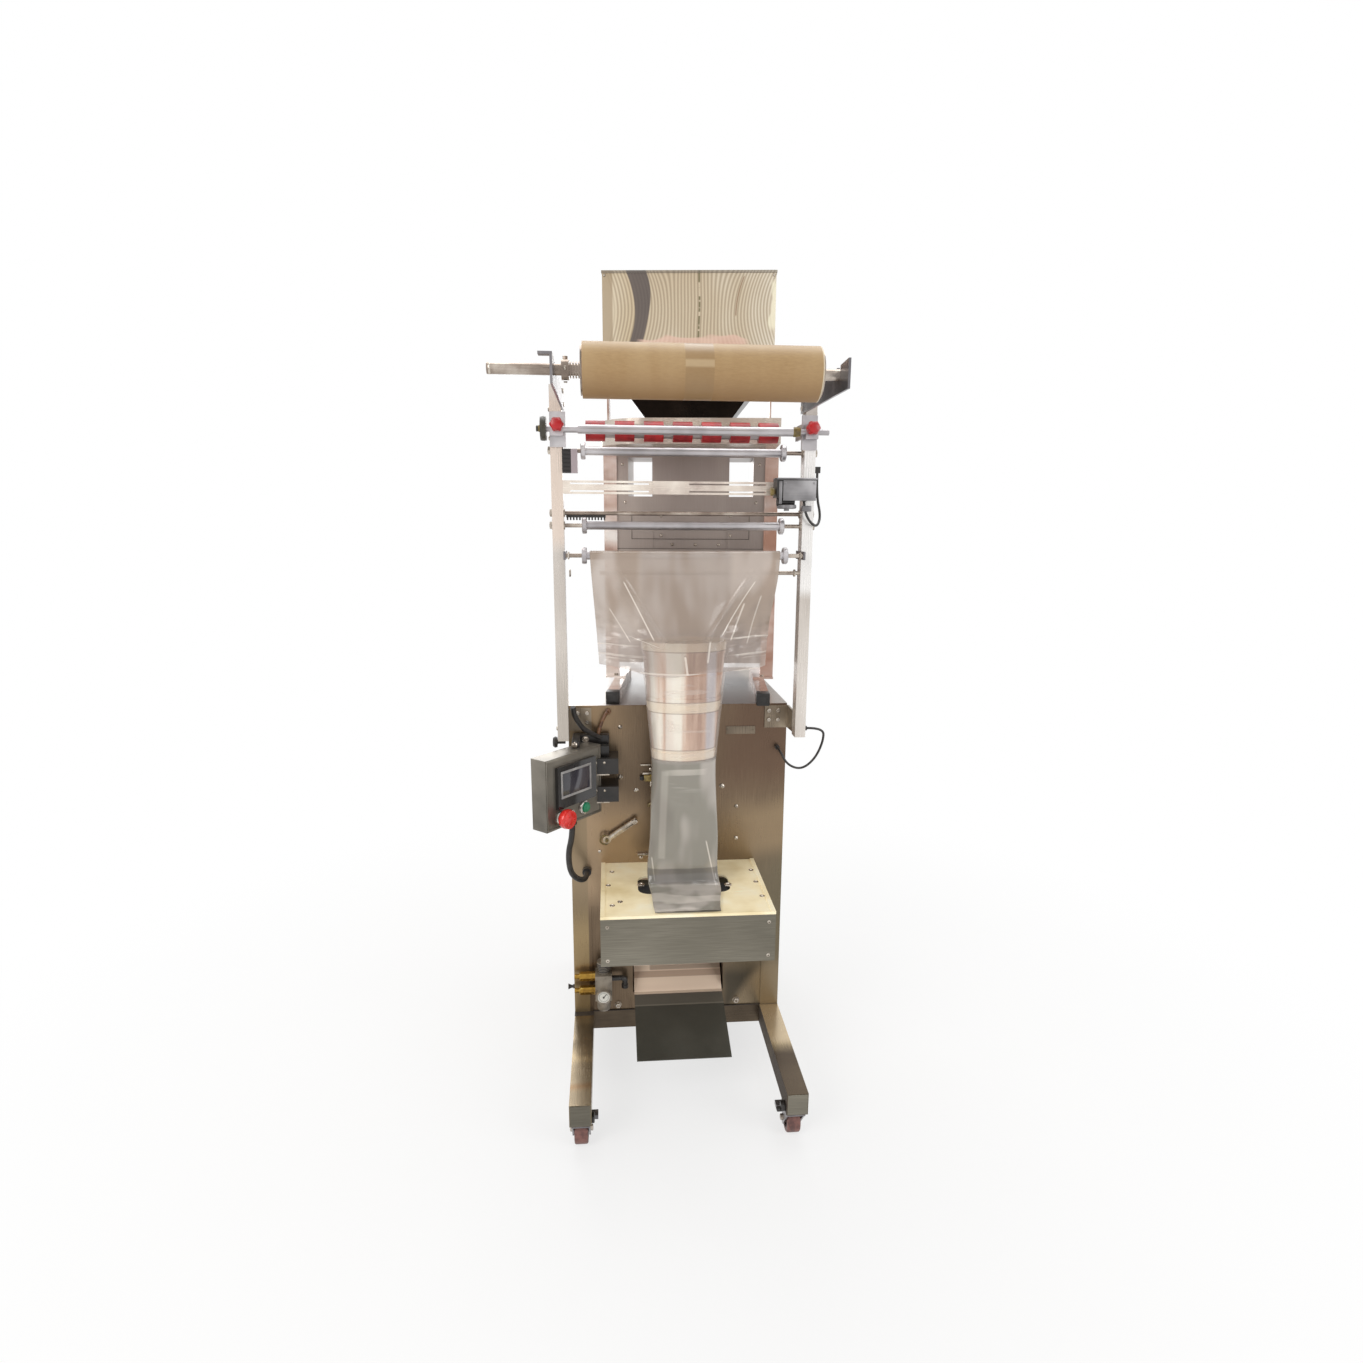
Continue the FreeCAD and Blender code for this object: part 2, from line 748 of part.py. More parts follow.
def make_filler():
    foot = box(foot_x - foot_w / 2, foot_x + foot_w / 2, 0, foot_l, deck_z, deck_feet)
    pad = box(foot_x - foot_w / 2, upright_x + upright_w / 2, upright_y - foot_pad_l / 2,
              upright_y + foot_pad_l / 2, deck_feet, deck_feet + plate)
    pole = box(upright_x - upright_w / 2, upright_x + upright_w / 2, upright_y - upright_w / 2,
               upright_y + upright_w / 2, deck_feet + plate, tray_low)
    stand = both_sides(foot.fuse([pad, pole])).Solids
    stays = []
    slots = []
    for x in (hopper_x - hopper_w / 2 - plate, hopper_x + hopper_w / 2):
        stays.append(box(x, x + plate, upright_y - stay_w / 2, upright_y + stay_w / 2, tray_low, hopper_low + stay_w))
        slots.append(box(x - turn_gap, x + plate + turn_gap, upright_y - stay_w / 2 - turn_gap,
                         upright_y + stay_w / 2 + turn_gap, tray_low - 1, tray_low + sheet + 1))
    stand.sort(key=lambda solid: solid.CenterOfMass.x)
    nodes["filler_stand"] = turned_filler(Part.makeCompound([a.fuse(b) for a, b in zip(stand, stays)]))
    inner = upright_x - upright_w / 2
    y0 = upright_y - upright_w / 2 + housing_set
    cheek = box(inner - cheek_w, inner, y0, y0 + housing_d, housing_top, tray_low - bed_t)
    housing = box(-inner, inner, y0, y0 + housing_d, housing_top - housing_h, housing_top)
    hatch = box(-hatch_w / 2, hatch_w / 2, y0 - 1, y0 + hatch_d, housing_top - hatch_drop - hatch_h,
                housing_top - hatch_drop)
    bed = box(-inner, inner, y0, y0 + housing_d, tray_low - bed_t, tray_low)
    nodes["weigher_housing"] = turned_filler(housing.fuse([cheek, mirrored(cheek), bed]).cut(hatch))
    bucket = box(-bucket_w / 2, bucket_w / 2, y0, y0 + bucket_d, housing_top, tray_low - bed_t)
    nodes["weigh_bucket"] = turned_filler(bucket)
    x0 = tray_x - tray_w / 2
    blank = box(x0, x0 + tray_w, tray_front, tray_front + tray_d, tray_low, tray_top)
    corners = [e for e in upright_edges(blank) if e.Vertexes[0].X < 0]
    inside = box(x0 + sheet, x0 + tray_w - sheet, tray_front + sheet, tray_front + tray_d - sheet,
                 tray_low + sheet, tray_top + 1)
    pocket = [e for e in upright_edges(inside) if e.Vertexes[0].X < 0]
    tray = blank.makeFillet(tray_round, corners).cut(inside.makeFillet(tray_round - sheet, pocket))
    nodes["feed_tray"] = turned_filler(tray.cut(slots))


def rectangle(w, d, z):
    y0 = hopper_front + (hopper_d - d) / 2
    points = [V(hopper_x - w / 2, y0, z), V(hopper_x + w / 2, y0, z),
              V(hopper_x + w / 2, y0 + d, z), V(hopper_x - w / 2, y0 + d, z)]
    return Part.makePolygon(points + points[:1])


def make_hopper():
    t = hopper_wall
    x0 = hopper_x - hopper_w / 2
    x1 = hopper_x + hopper_w / 2
    y1 = hopper_front + hopper_d
    outer = box(x0, x1, hopper_front, y1, hopper_low, hopper_low + hopper_h)
    inner = box(x0 + t, x1 - t, hopper_front + t, y1 - t, hopper_low - 1, hopper_low + hopper_h + 1)
    rim = box(x0 - rim_w, x1 + rim_w, hopper_front - rim_w, y1 + rim_w, hopper_low + hopper_h - rim_h,
              hopper_low + hopper_h)
    nodes["hopper"] = turned_filler(outer.fuse(rim).cut(inner))
    skin = Part.makeLoft([rectangle(funnel_w, funnel_d, funnel_low), rectangle(hopper_w, hopper_d, hopper_low)],
                         True, True)
    hollow = Part.makeLoft([rectangle(funnel_w - 2 * t, funnel_d - 2 * t, funnel_low),
                            rectangle(hopper_w - 2 * t, hopper_d - 2 * t, hopper_low)], True, True)
    nodes["hopper_funnel"] = turned_filler(skin.cut(hollow))


def make_control_box():
    body = box(0, box_w, 0, box_t, 0, box_h)
    stem_y = stop_stem_l - stop_lift
    hole_d = stem_y + stop_travel + turn_gap
    body = body.cut(rod_y(stop_stem_d + 2 * bore_play, -1, hole_d, stop_x, stop_z))
    start_hole = start_travel + turn_gap + start_l
    body = body.cut(rod_y(start_d + 2 * bore_play, -1, start_hole, start_x, start_z))
    ring = rod_y(ring_d, -ring_t, 0, start_x, start_z)
    ring = ring.cut(rod_y(start_d + 2 * bore_play, -ring_t - 1, 1, start_x, start_z))
    nodes["control_box"] = turned_box(body.fuse(ring))
    nodes["touch_panel"] = turned_box(box(screen_x, screen_x + screen_w, -screen_t, 0, screen_z, screen_z + screen_h))
    head = rod_y(stop_d, -stop_lift - stop_l, -stop_lift, stop_x, stop_z)
    nodes["emergency_stop"] = turned_box(head.fuse(rod_y(stop_stem_d, -stop_lift, stem_y, stop_x, stop_z)))
    nodes["start_button"] = turned_box(rod_y(start_d, -start_l, start_l, start_x, start_z))
    blocks = []
    solid = turned_box(box(0, box_w, 0, box_t, -box_h, 2 * box_h))
    for z in (box_low + hinge_z, box_low + hinge_z + hinge_pitch):
        block = box(hinge_x - hinge_w / 2, hinge_x + hinge_w, -hinge_reach, 0, z, z + hinge_h)
        pieces = block.cut(solid).Solids
        blocks.append(max(pieces, key=lambda s: s.CenterOfMass.y))
    nodes["box_hinges"] = Part.makeCompound(blocks)


def cord(name, d, points):
    corners = [V(*p) for p in points]
    edges = []
    last = corners[0]
    radii = []
    for before, corner, after in zip(corners, corners[1:], corners[2:]):
        back = before.sub(corner)
        on = after.sub(corner)
        half = (math.pi - back.getAngle(on)) / 2
        cut = run_share * min(back.Length, on.Length)
        radius = cut / math.tan(half)
        radii.append(radius)
        back.normalize()
        on.normalize()
        middle = back.add(on)
        middle.normalize()
        near = corner.add(middle.multiply(radius / math.cos(half) - radius))
        start = corner.add(back.multiply(cut))
        end = corner.add(on.multiply(cut))
        edges.append(Part.LineSegment(last, start).toShape())
        edges.append(Part.Arc(start, near, end).toShape())
        last = end
    edges.append(Part.LineSegment(last, corners[-1]).toShape())
    path = Part.Wire(edges)
    ring = Part.Wire(Part.makeCircle(d / 2, corners[0], corners[1].sub(corners[0])))
    tube = path.makePipeShell([ring], True, True)
    share = tube.Volume / (math.pi * d * d / 4 * path.Length)
    print(name, "length", round(path.Length, 1), "diameter", d, "radii", [round(r, 1) for r in radii],
          "volume share", round(share, 4))
    nodes[name] = tube
    cords.append(name)


def from_point(start, offsets):
    return [(start[0] + dx, start[1] + dy, start[2] + dz) for dx, dy, dz in offsets]


def make_cords():
    post_x = post_in + post_w
    start = (hose_in_x, hose_in_y, box_low - gland_l)
    end = (hose_out_x, -gland_l, deck_z - hose_out_drop)
    glands = [rod_z(hose_gland_d, box_low - gland_l, box_low, hose_in_x, hose_in_y),
              rod_y(hose_gland_d, -gland_l, 0, end[0], end[2])]
    bends = from_point(start, hose_bends) + from_point(end, [(0, -hose_last, 0)])
    cord("control_hose", hose_d, [start] + bends + [end])
    start = (side_x, -gland_l, deck_z - side_drop)
    end = (post_x + gland_l / 2, post_mid, deck_z - side_end_drop)
    glands.append(rod_y(cable_gland_d, -gland_l, 0, start[0], start[2]))
    glands.append(rod_x(cable_gland_d, post_x, end[0], post_mid, end[2]))
    bends = from_point(start, side_bends) + from_point(end, [(side_last, 0, 0)])
    cord("side_cable", cable_d, [start] + bends + [end])
    low = post_top - coder_drop - coder_box_h / 2
    start = (coder_out_x, -post_reach - coder_box_d / 2, low - gland_l / 2)
    end = (post_x + clip_w - cable_d, post_mid, post_top - coder_end_drop)
    glands.append(rod_z(cable_gland_d, start[2], low, start[0], start[1]))
    glands.append(box(post_x, post_x + clip_w, post_mid - cable_gland_d / 2, post_mid + cable_gland_d / 2,
                      end[2], end[2] + gland_l))
    bends = from_point(start, coder_bends) + from_point(end, [(0, 0, -coder_last)])
    cord("coder_cable", cable_d, [start] + bends + [end])
    nodes["cable_glands"] = Part.makeCompound(glands)


def make_ribbed_block():
    z0 = post_top - block_drop
    back = post_mid - spindle_d / 2 - seat_gap
    block = box(-post_in, -post_in + block_w, back - block_d, back, z0, z0 + block_h)
    pitch = block_h / ribs
    for rib in range(ribs):
        low = z0 + (rib + 0.25) * pitch
        block = block.cut(box(-post_in - 1, -post_in + block_w + 1, back - block_d - 1, back - block_d + rib_depth,
                              low, low + pitch / 2))
    side = box(-post_in + block_w, -post_in + block_w + side_block_w, back - block_d, back, z0, z0 + block_h)
    nodes["ribbed_block"] = block.fuse(side)


def make_lever():
    z = deck_z - lever_drop
    boss = rod_y(lever_boss_d, -lever_stand - lever_t, -1, lever_x, z)
    arm = box(lever_x, lever_x + lever_l, -lever_stand - lever_t, -lever_stand, z - lever_w / 2, z + lever_w / 2)
    arm.rotate(V(lever_x, 0, z), V(0, 1, 0), lever_turn)
    nodes["lever"] = boss.fuse(arm).cut(rod_y(lever_pin_d + 2 * bore_play, -50, 1, lever_x, z))


def hex_bar(across, x0, x1, y, z):
    radius = across / math.sqrt(3)
    corners = [(y + radius * math.cos(math.radians(60 * k)), z + radius * math.sin(math.radians(60 * k)))
               for k in range(6)]
    return profile_x(corners, x0, x1)


def make_air_unit():
    back = panel_recess
    x0 = air_x - air_w / 2
    mid_y = back - air_d / 2
    head_low = air_low + air_bowl_h
    head_high = head_low + air_head_h
    head = box(x0, x0 + air_w, back - air_d, back, head_low, head_high)
    neck = rod_z(air_neck_d, head_high, head_high + air_neck_h, air_x, mid_y)
    knob = rod_z(air_knob_d, head_high + air_neck_h, air_low + air_h, air_x, mid_y)
    cup = rod_z(air_bowl_d, air_low, head_low, air_x, mid_y)
    cup = cup.makeFillet(air_bowl_d / 3, [e for e in cup.Edges if e.BoundBox.ZMax < air_low + 1])
    gauge = rod_y(gauge_d, back - air_d - gauge_t, back - air_d, air_x, head_low + gauge_d / 2)
    nodes["air_regulator"] = head.fuse([neck, knob, cup, gauge])
    fittings = []
    for z in (head_low + fitting_d, head_high - fitting_d / 2):
        hexagon = hex_bar(fitting_d, x0 - fitting_l, x0, mid_y, z)
        tip = rod_x(fitting_tip_d, x0 - fitting_l - fitting_tip_l, x0 - fitting_l, mid_y, z)
        fittings.append(hexagon.fuse(tip))
    nodes["air_fittings"] = Part.makeCompound(fittings)


make_base()
make_cabinet()
make_chute()
make_jaw_box()
make_posts()
make_roll()
make_guide_rollers()
make_tension_roller()
make_pull_roller()
make_roller_ears()
make_coder()
make_former()
make_film()
make_filler()
make_hopper()
make_control_box()
make_lever()
make_air_unit()
make_cords()
make_ribbed_block()

whole = Part.makeCompound([shape for name, shape in nodes.items() if name not in cords]).BoundBox
shift = V(-(whole.XMin + whole.XMax) / 2, -(whole.YMin + whole.YMax) / 2, 0)
print("shift", round(shift.x, 4), round(shift.y, 4), "height", round(whole.ZMax, 2), "nodes", len(nodes))

os.makedirs("parts", exist_ok=True)
for node_name, shape in nodes.items():
    placed = shape.copy()
    placed.translate(shift)
    placed.exportStep("parts/" + node_name + ".step")
    b = placed.BoundBox
    print(node_name, len(placed.Solids), placed.isValid(),
          [round(v, 1) for v in (b.XMin, b.XMax, b.YMin, b.YMax, b.ZMin, b.ZMax)])
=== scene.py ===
# %% [markdown]
# # Snack packing machine
# The machine's solids were drawn and packed before this script runs. They are loaded here as a fixed
# frame: a node is never moved or reshaped, it only gets a better finish. Everything else that the eye
# finds on the machine, such as screws, film, dial and screen, is modelled here and rides on the frame.

# %% Load the frame
import bpy
import bmesh
import math
from mathutils import Matrix, Vector, noise


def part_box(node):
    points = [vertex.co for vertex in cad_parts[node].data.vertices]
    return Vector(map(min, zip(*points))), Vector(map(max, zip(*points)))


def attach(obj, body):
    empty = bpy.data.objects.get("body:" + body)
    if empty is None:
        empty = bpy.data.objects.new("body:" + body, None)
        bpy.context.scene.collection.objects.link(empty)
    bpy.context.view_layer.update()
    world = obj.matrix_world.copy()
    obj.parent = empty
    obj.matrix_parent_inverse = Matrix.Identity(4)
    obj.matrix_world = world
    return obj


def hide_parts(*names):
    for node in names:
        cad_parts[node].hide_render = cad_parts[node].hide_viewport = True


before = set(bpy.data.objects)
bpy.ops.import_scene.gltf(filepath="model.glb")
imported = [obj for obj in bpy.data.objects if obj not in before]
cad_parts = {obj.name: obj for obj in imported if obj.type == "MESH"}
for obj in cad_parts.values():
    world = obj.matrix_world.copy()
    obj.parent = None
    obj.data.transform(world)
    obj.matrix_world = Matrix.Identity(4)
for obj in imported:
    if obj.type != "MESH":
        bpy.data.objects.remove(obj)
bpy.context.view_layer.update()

# %% [markdown]
# The drawing counts in millimetres from the middle of the cabinet's front face, on the floor. One helper
# turns such a point into the frame's metres, so that sizes below can be read against a tape measure.

# %% From drawing millimetres to the frame's metres
DRAWING_SHIFT = (30.0, -27.736)


def at(x, y, z):
    return Vector(((x + DRAWING_SHIFT[0]) / 1000, (y + DRAWING_SHIFT[1]) / 1000, z / 1000))


def x_at(x):
    return at(x, 0, 0).x


def y_at(y):
    return at(0, y, 0).y


print("cabinet corner", [round(v, 4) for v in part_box("cabinet")[0]], "drawing origin", tuple(at(0, 0, 0)))

# %% [markdown]
# ## Camera
# The photograph was taken from about chest height, a little left of the machine and tilted down. The
# lens and the turn were found by fitting straight edges of the machine, and are only written down here.

# %% Camera
FOCAL_PIXELS = 834.8
FRAME_PIXELS = 1363
CENTRE_PIXELS = (680.33, 700.0)
yaw, pitch, roll = math.radians(4.876), math.radians(12.16), math.radians(0.304)
forward = Vector((math.sin(yaw) * math.cos(pitch), math.cos(yaw) * math.cos(pitch), -math.sin(pitch)))
level_right = Vector((math.cos(yaw), -math.sin(yaw), 0))
level_up = level_right.cross(forward)
right = level_right * math.cos(roll) + level_up * math.sin(roll)
up = level_up * math.cos(roll) - level_right * math.sin(roll)
camera_data = bpy.data.cameras.new("photo_camera")
camera_data.sensor_width = 36
camera_data.lens = FOCAL_PIXELS / FRAME_PIXELS * 36
camera_data.shift_x = (FRAME_PIXELS / 2 - CENTRE_PIXELS[0]) / FRAME_PIXELS
camera_data.shift_y = (CENTRE_PIXELS[1] - FRAME_PIXELS / 2) / FRAME_PIXELS
camera = bpy.data.objects.new("photo_camera", camera_data)
turn = Matrix((right, up, -forward)).transposed().to_4x4()
camera.matrix_world = Matrix.Translation(at(-147.7, -1772.7, 1248.5)) @ turn
bpy.context.collection.objects.link(camera)
bpy.context.scene.camera = camera
print("lens", round(camera_data.lens, 2), "mm, shift", round(camera_data.shift_x, 4),
      round(camera_data.shift_y, 4))

# %% [markdown]
# ## How the finishes are written
# A finish is a tree of nodes. Masks are plain numbers over the surface, and sums on them read best as
# Python expressions, so one small class stands for a socket and turns each sum into a Math node. All
# other nodes come from one method, which sets the node's settings first and its sockets afterwards.

# %% Shader helpers
class Mask:
    """A number that varies over the surface."""

    def __init__(self, finish, socket):
        self.finish, self.socket = finish, socket

    def __add__(self, other):
        return self.finish.maths("ADD", self, other)

    def __sub__(self, other):
        return self.finish.maths("SUBTRACT", self, other)

    def __rsub__(self, other):
        return self.finish.maths("SUBTRACT", other, self)

    def __mul__(self, other):
        return self.finish.maths("MULTIPLY", self, other)

    __radd__ = __add__
    __rmul__ = __mul__

    def step(self, low, high):
        """Rises softly from 0 to 1 between two values."""
        settings = {"interpolation_type": "SMOOTHSTEP"}
        return self.finish.node("MapRange", settings, {0: self, 1: low, 2: high, 3: 0.0, 4: 1.0})

    def band(self, middle, half, soft):
        """Is 1 within a band and falls softly to 0 on both sides of it."""
        return self.step(middle - half - soft, middle - half) * (
            1 - self.step(middle + half, middle + half + soft))


class Finish:
    """A material that is built node by node round one Principled shader."""

    def __init__(self, name, **constants):
        self.material = bpy.data.materials.new(name)
        self.material.use_nodes = True
        self.tree = self.material.node_tree
        self.tree.nodes.clear()
        self.shader = self.tree.nodes.new("ShaderNodeBsdfPrincipled")
        output = self.tree.nodes.new("ShaderNodeOutputMaterial")
        self.tree.links.new(self.shader.outputs[0], output.inputs[0])
        for key, value in constants.items():
            self.shader.inputs[key.replace("_", " ")].default_value = value
        self.place = self.node("TexCoord", out="Object")
        self.x, self.y, self.z = (self.node("SeparateXYZ", {}, {0: self.place}, axis) for axis in range(3))

    def node(self, kind, settings={}, sockets={}, out=0):
        made = self.tree.nodes.new("ShaderNode" + kind)
        for key, value in settings.items():
            if key == "stops":
                while len(made.color_ramp.elements) < len(value):
                    made.color_ramp.elements.new(0.5)
                for element, (position, colour) in zip(made.color_ramp.elements, value):
                    element.position, element.color = position, colour
            else:
                setattr(made, key, value)
        for key, value in sockets.items():
            if isinstance(value, Mask):
                self.tree.links.new(value.socket, made.inputs[key])
            else:
                made.inputs[key].default_value = value
        return Mask(self, made.outputs[out])

    def feed(self, **sockets):
        for key, value in sockets.items():
            self.tree.links.new(value.socket, self.shader.inputs[key.replace("_", " ")])

    def maths(self, operation, *values):
        return self.node("Math", {"operation": operation}, dict(enumerate(values)))

    def length(self, *parts):
        arrow = self.node("CombineXYZ", {}, dict(enumerate(parts)))
        return self.node("VectorMath", {"operation": "LENGTH"}, {0: arrow}, 1)

    def mix(self, share, *colours):
        """Blends two colours, each a mask or a triple of 0 to 255."""
        a, b = (tint(*c) if isinstance(c, tuple) and len(c) == 3 else c for c in colours)
        settings = {"data_type": "RGBA", "clamp_result": True}
        return self.node("Mix", settings, {0: share, 6: a, 7: b}, 2)

    def coats(self, colour, *coats):
        """Lays coats of colour over one another, each where its mask says."""
        for share, over in coats:
            colour = self.mix(share, colour, over)
        return colour

    def clouds(self, scale, stretch=(1, 1, 1), detail=3.0, offset=(0, 0, 0)):
        spot = self.node("Mapping", {}, {0: self.place, 1: offset, 3: stretch})
        return self.node("TexNoise", {}, {"Vector": spot, "Scale": scale, "Detail": detail,
                                          "Roughness": 0.55})

    def bump(self, height, distance, strength=1.0):
        return self.node("Bump", {}, {"Height": height, "Distance": distance, "Strength": strength})


def tint(red, green, blue):
    """An ordinary screen colour, 0 to 255, as the linear numbers that a shader takes."""
    linear = []
    for part in (red, green, blue):
        share = part / 255
        linear.append(share / 12.92 if share <= 0.04045 else ((share + 0.055) / 1.055) ** 2.4)
    return (*linear, 1.0)


print("a warm grey of 150, 130, 105 is", [round(v, 3) for v in tint(150, 130, 105)])

# %% [markdown]
# ## Stainless sheet and tube
# Nearly all of the machine is stainless sheet that mirrors brown surroundings. A metal that only mirrored
# this pale studio would look like another machine, so the broad brown and cream tones that the real sheet
# shows are painted into its colour as painted reflections, spread by wide clouds. Fine streaks run along
# the way the sheet was ground, soft clouds stand for smears and dents, and both also change the roughness,
# which is what makes metal look ground.

# %% Steel finish
def steel(name, dark, mid, light, along, rough, cloud_scale, streak=0.35, metal=0.75,
          spread=(0.30, 0.52, 0.74), reflection_stretch=(1, 1, 1)):
    finish = Finish(name, Metallic=metal)
    fine = {"x": (0.02, 1, 1), "y": (1, 0.02, 1), "z": (1, 1, 0.02)}[along]
    streaks = finish.clouds(900.0, fine, detail=2.0)
    # The wide clouds spread the painted reflection tones, dark, mid and light, over the sheet.
    wide = finish.clouds(cloud_scale, reflection_stretch, detail=3.0)
    tone = wide * (1 - streak) + streaks * streak
    stops = [(spot, tint(*shade)) for spot, shade in zip(spread, (dark, mid, light))]
    colour = finish.node("ValToRGB", {"stops": stops}, {0: tone})
    smear = finish.clouds(14.0, detail=4.0)
    finish.colour, finish.rough = colour, streaks * 0.14 + smear * 0.12 + (rough - 0.13)
    finish.feed(Base_Color=colour, Roughness=finish.rough, Normal=finish.bump(streaks, 0.00004, 0.5))
    return finish


frame_steel = steel("satin_frame_steel", (98, 96, 100), (132, 128, 130), (186, 182, 182), "z", 0.30, 9.0,
                    streak=0.15)
rod_steel = steel("turned_rod_steel", (105, 90, 80), (160, 146, 134), (226, 216, 204), "x", 0.22, 16.0,
                  streak=0.12)
roller_metal = steel("roller_aluminium", (162, 158, 160), (190, 186, 188), (220, 217, 218), "x", 0.34, 12.0,
                     streak=0.1)
box_metal = steel("control_box_steel", (100, 96, 88), (136, 130, 120), (176, 168, 156), "x", 0.36, 7.0,
                  streak=0.15, metal=0.6)
chute_metal = steel("chute_steel", (70, 69, 62), (92, 91, 82), (120, 118, 108), "y", 0.42, 6.0, streak=0.1,
                    metal=0.3)
finish = chute_metal
# The front plate is darker towards the bottom and lighter above 153 mm, with a thin painted highlight along
# that edge; the shade mask is a painted shade on the upper right of the peach inside.
inside = finish.y.step(y_at(-8), y_at(-6))
bands = finish.clouds(16.0, (0.05, 0.3, 1), detail=1.0)
shade = finish.z.step(0.200, 0.203) * finish.x.step(x_at(-66), x_at(-60))
peach = finish.coats(
    (226, 200, 178), (bands.step(0.45, 0.5), (240, 216, 194)),
    (finish.z.band(0.1945, 0.005, 0.001) * 0.8, (178, 150, 130)), (shade * 0.75, (158, 138, 122)))
plate = finish.coats(
    (60, 58, 52), (finish.z.step(0.108, 0.150), (82, 79, 72)),
    (finish.z.step(0.1530, 0.1545) * 0.7, (132, 124, 114)),
    (finish.z.band(0.1535, 0.0004, 0.0004) * 0.6, (176, 166, 152)), (0.35, finish.colour))
finish.feed(Base_Color=finish.mix(inside, plate, peach))
print("steel finishes", sum(1 for m in bpy.data.materials if m.name.endswith(("steel", "aluminium"))))

# %% [markdown]
# ## Cords
# Three cords leave the machine and go back into it: the thick black hose under the control box and two
# thin cables on the right. Each is a smooth curve that runs through the same points as its solid, so it
# hangs where the solid hangs, and it is drawn before anything else because the camera must see it whole.

# %% Rubber and cable finish
def rubber(name, colour, rough, sheen=0.06):
    finish = Finish(name, Metallic=0.0, Sheen_Weight=sheen)
    wear = finish.clouds(60.0, detail=4.0)
    worn = tuple(min(1, c * 1.9 + 0.006) for c in tint(*colour)[:3])
    shade = finish.mix(wear.step(0.35, 0.75), colour, (*worn, 1))
    finish.feed(Base_Color=shade, Roughness=wear * 0.2 + (rough - 0.1), Normal=finish.bump(wear, 0.0003, 0.4))
    return finish


cable_black = rubber("black_cable_sheath", (34, 31, 29), 0.46)

# %% Hose and cables
def cord_curve(name, diameter, points):
    curve = bpy.data.curves.new(name, "CURVE")
    curve.dimensions = "3D"
    curve.bevel_depth = diameter / 2000
    curve.bevel_resolution = 6
    spline = curve.splines.new("NURBS")
    spline.points.add(len(points) - 1)
    for place, point in zip(spline.points, points):
        place.co = (*at(*point), 1)
    spline.order_u = 3
    spline.use_endpoint_u = True
    spline.resolution_u = 16
    made = bpy.data.objects.new(name, curve)
    bpy.context.collection.objects.link(made)
    curve.materials.append(cable_black.material)
    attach(made, "machine")
    at(*points[0])
    return made


hose = cord_curve("hose_under_box", 12.5, [
    (-232, -91, 620.3), (-232, -91, 594.3), (-243, -88, 550.3), (-237, -86, 499.3), (-206, -60, 474.3),
    (-206, -12, 474.3)])
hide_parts("control_hose")
side = cord_curve("side_loop", 5, [
    (219, -12, 757.3), (219, -45, 757.3), (233, -53, 729.3), (266, -48, 716.3), (294, -54, 742.3),
    (304, -80, 790.3), (298, -97, 822.3), (262, -97, 822.3)])
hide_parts("side_cable")
coder = cord_curve("coder_loop", 5, [
    (232, -131, 1285.3), (232, -131, 1272.3), (241, -136, 1248.3), (260, -126, 1235.3), (274, -99, 1257.3),
    (264, -97, 1297.3), (264, -97, 1340.3)])
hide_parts("coder_cable")
print("cords", [o.name for o in (hose, side, coder)])

# %% [markdown]
# ## Shapes that repeat
# Screws, nuts, collars and plates are all turned profiles or bevelled blocks. The helpers below start
# from bmesh operators and are then placed by one matrix, so every screw sits square on its own face.

# %% Modelling helpers
FRONT, UP, DOWN, RIGHT, LEFT = (0, -1, 0), (0, 0, 1), (0, 0, -1), (1, 0, 0), (-1, 0, 0)
DRAWN = Matrix.Translation(at(0, 0, 0))
bench = []


def facing(outward):
    """The turn that brings +Z to the outward direction."""
    return Vector(outward).to_track_quat("Z", "Y").to_matrix().to_4x4()


def placed(point, outward):
    return Matrix.Translation(at(*point)) @ facing(outward)


def shift(x, y, z):
    return Matrix.Translation((x / 1000, y / 1000, z / 1000))


def swung(degrees, axis="Z"):
    return Matrix.Rotation(math.radians(degrees), 4, axis)


def lay_down(part, where):
    """Moves a finished shape to its place and leaves it on the bench for the next piece."""
    bmesh.ops.transform(part, matrix=where, verts=part.verts)
    bench.append(part)


def turned(profile, where, steps=20):
    """Spins a profile of (radius, height) pairs in millimetres round its own axis."""
    part = bmesh.new()
    verts = [part.verts.new((r / 1000, 0, h / 1000)) for r, h in profile]
    edges = [part.edges.new(pair) for pair in zip(verts, verts[1:])]
    bmesh.ops.spin(part, geom=verts + edges, cent=(0, 0, 0), axis=(0, 0, 1), angle=math.tau, steps=steps,
                   use_merge=True)
    lay_down(part, where)


def block(low, high, bevel, where=DRAWN):
    """A block between two corners in millimetres, with edges rounded by the bevel."""
    part = bmesh.new()
    bmesh.ops.create_cube(part, size=1)
    middle = [(a + b) / 2000 for a, b in zip(low, high)]
    size = [abs(b - a) / 1000 for a, b in zip(low, high)]
    bmesh.ops.transform(part, matrix=Matrix.Translation(middle) @ Matrix.Diagonal((*size, 1)),
                        verts=part.verts)
    if bevel:
        bmesh.ops.bevel(part, geom=part.edges[:], affect="EDGES", offset=bevel / 1000, segments=2,
                        profile=0.5, material=-1)
    lay_down(part, where)


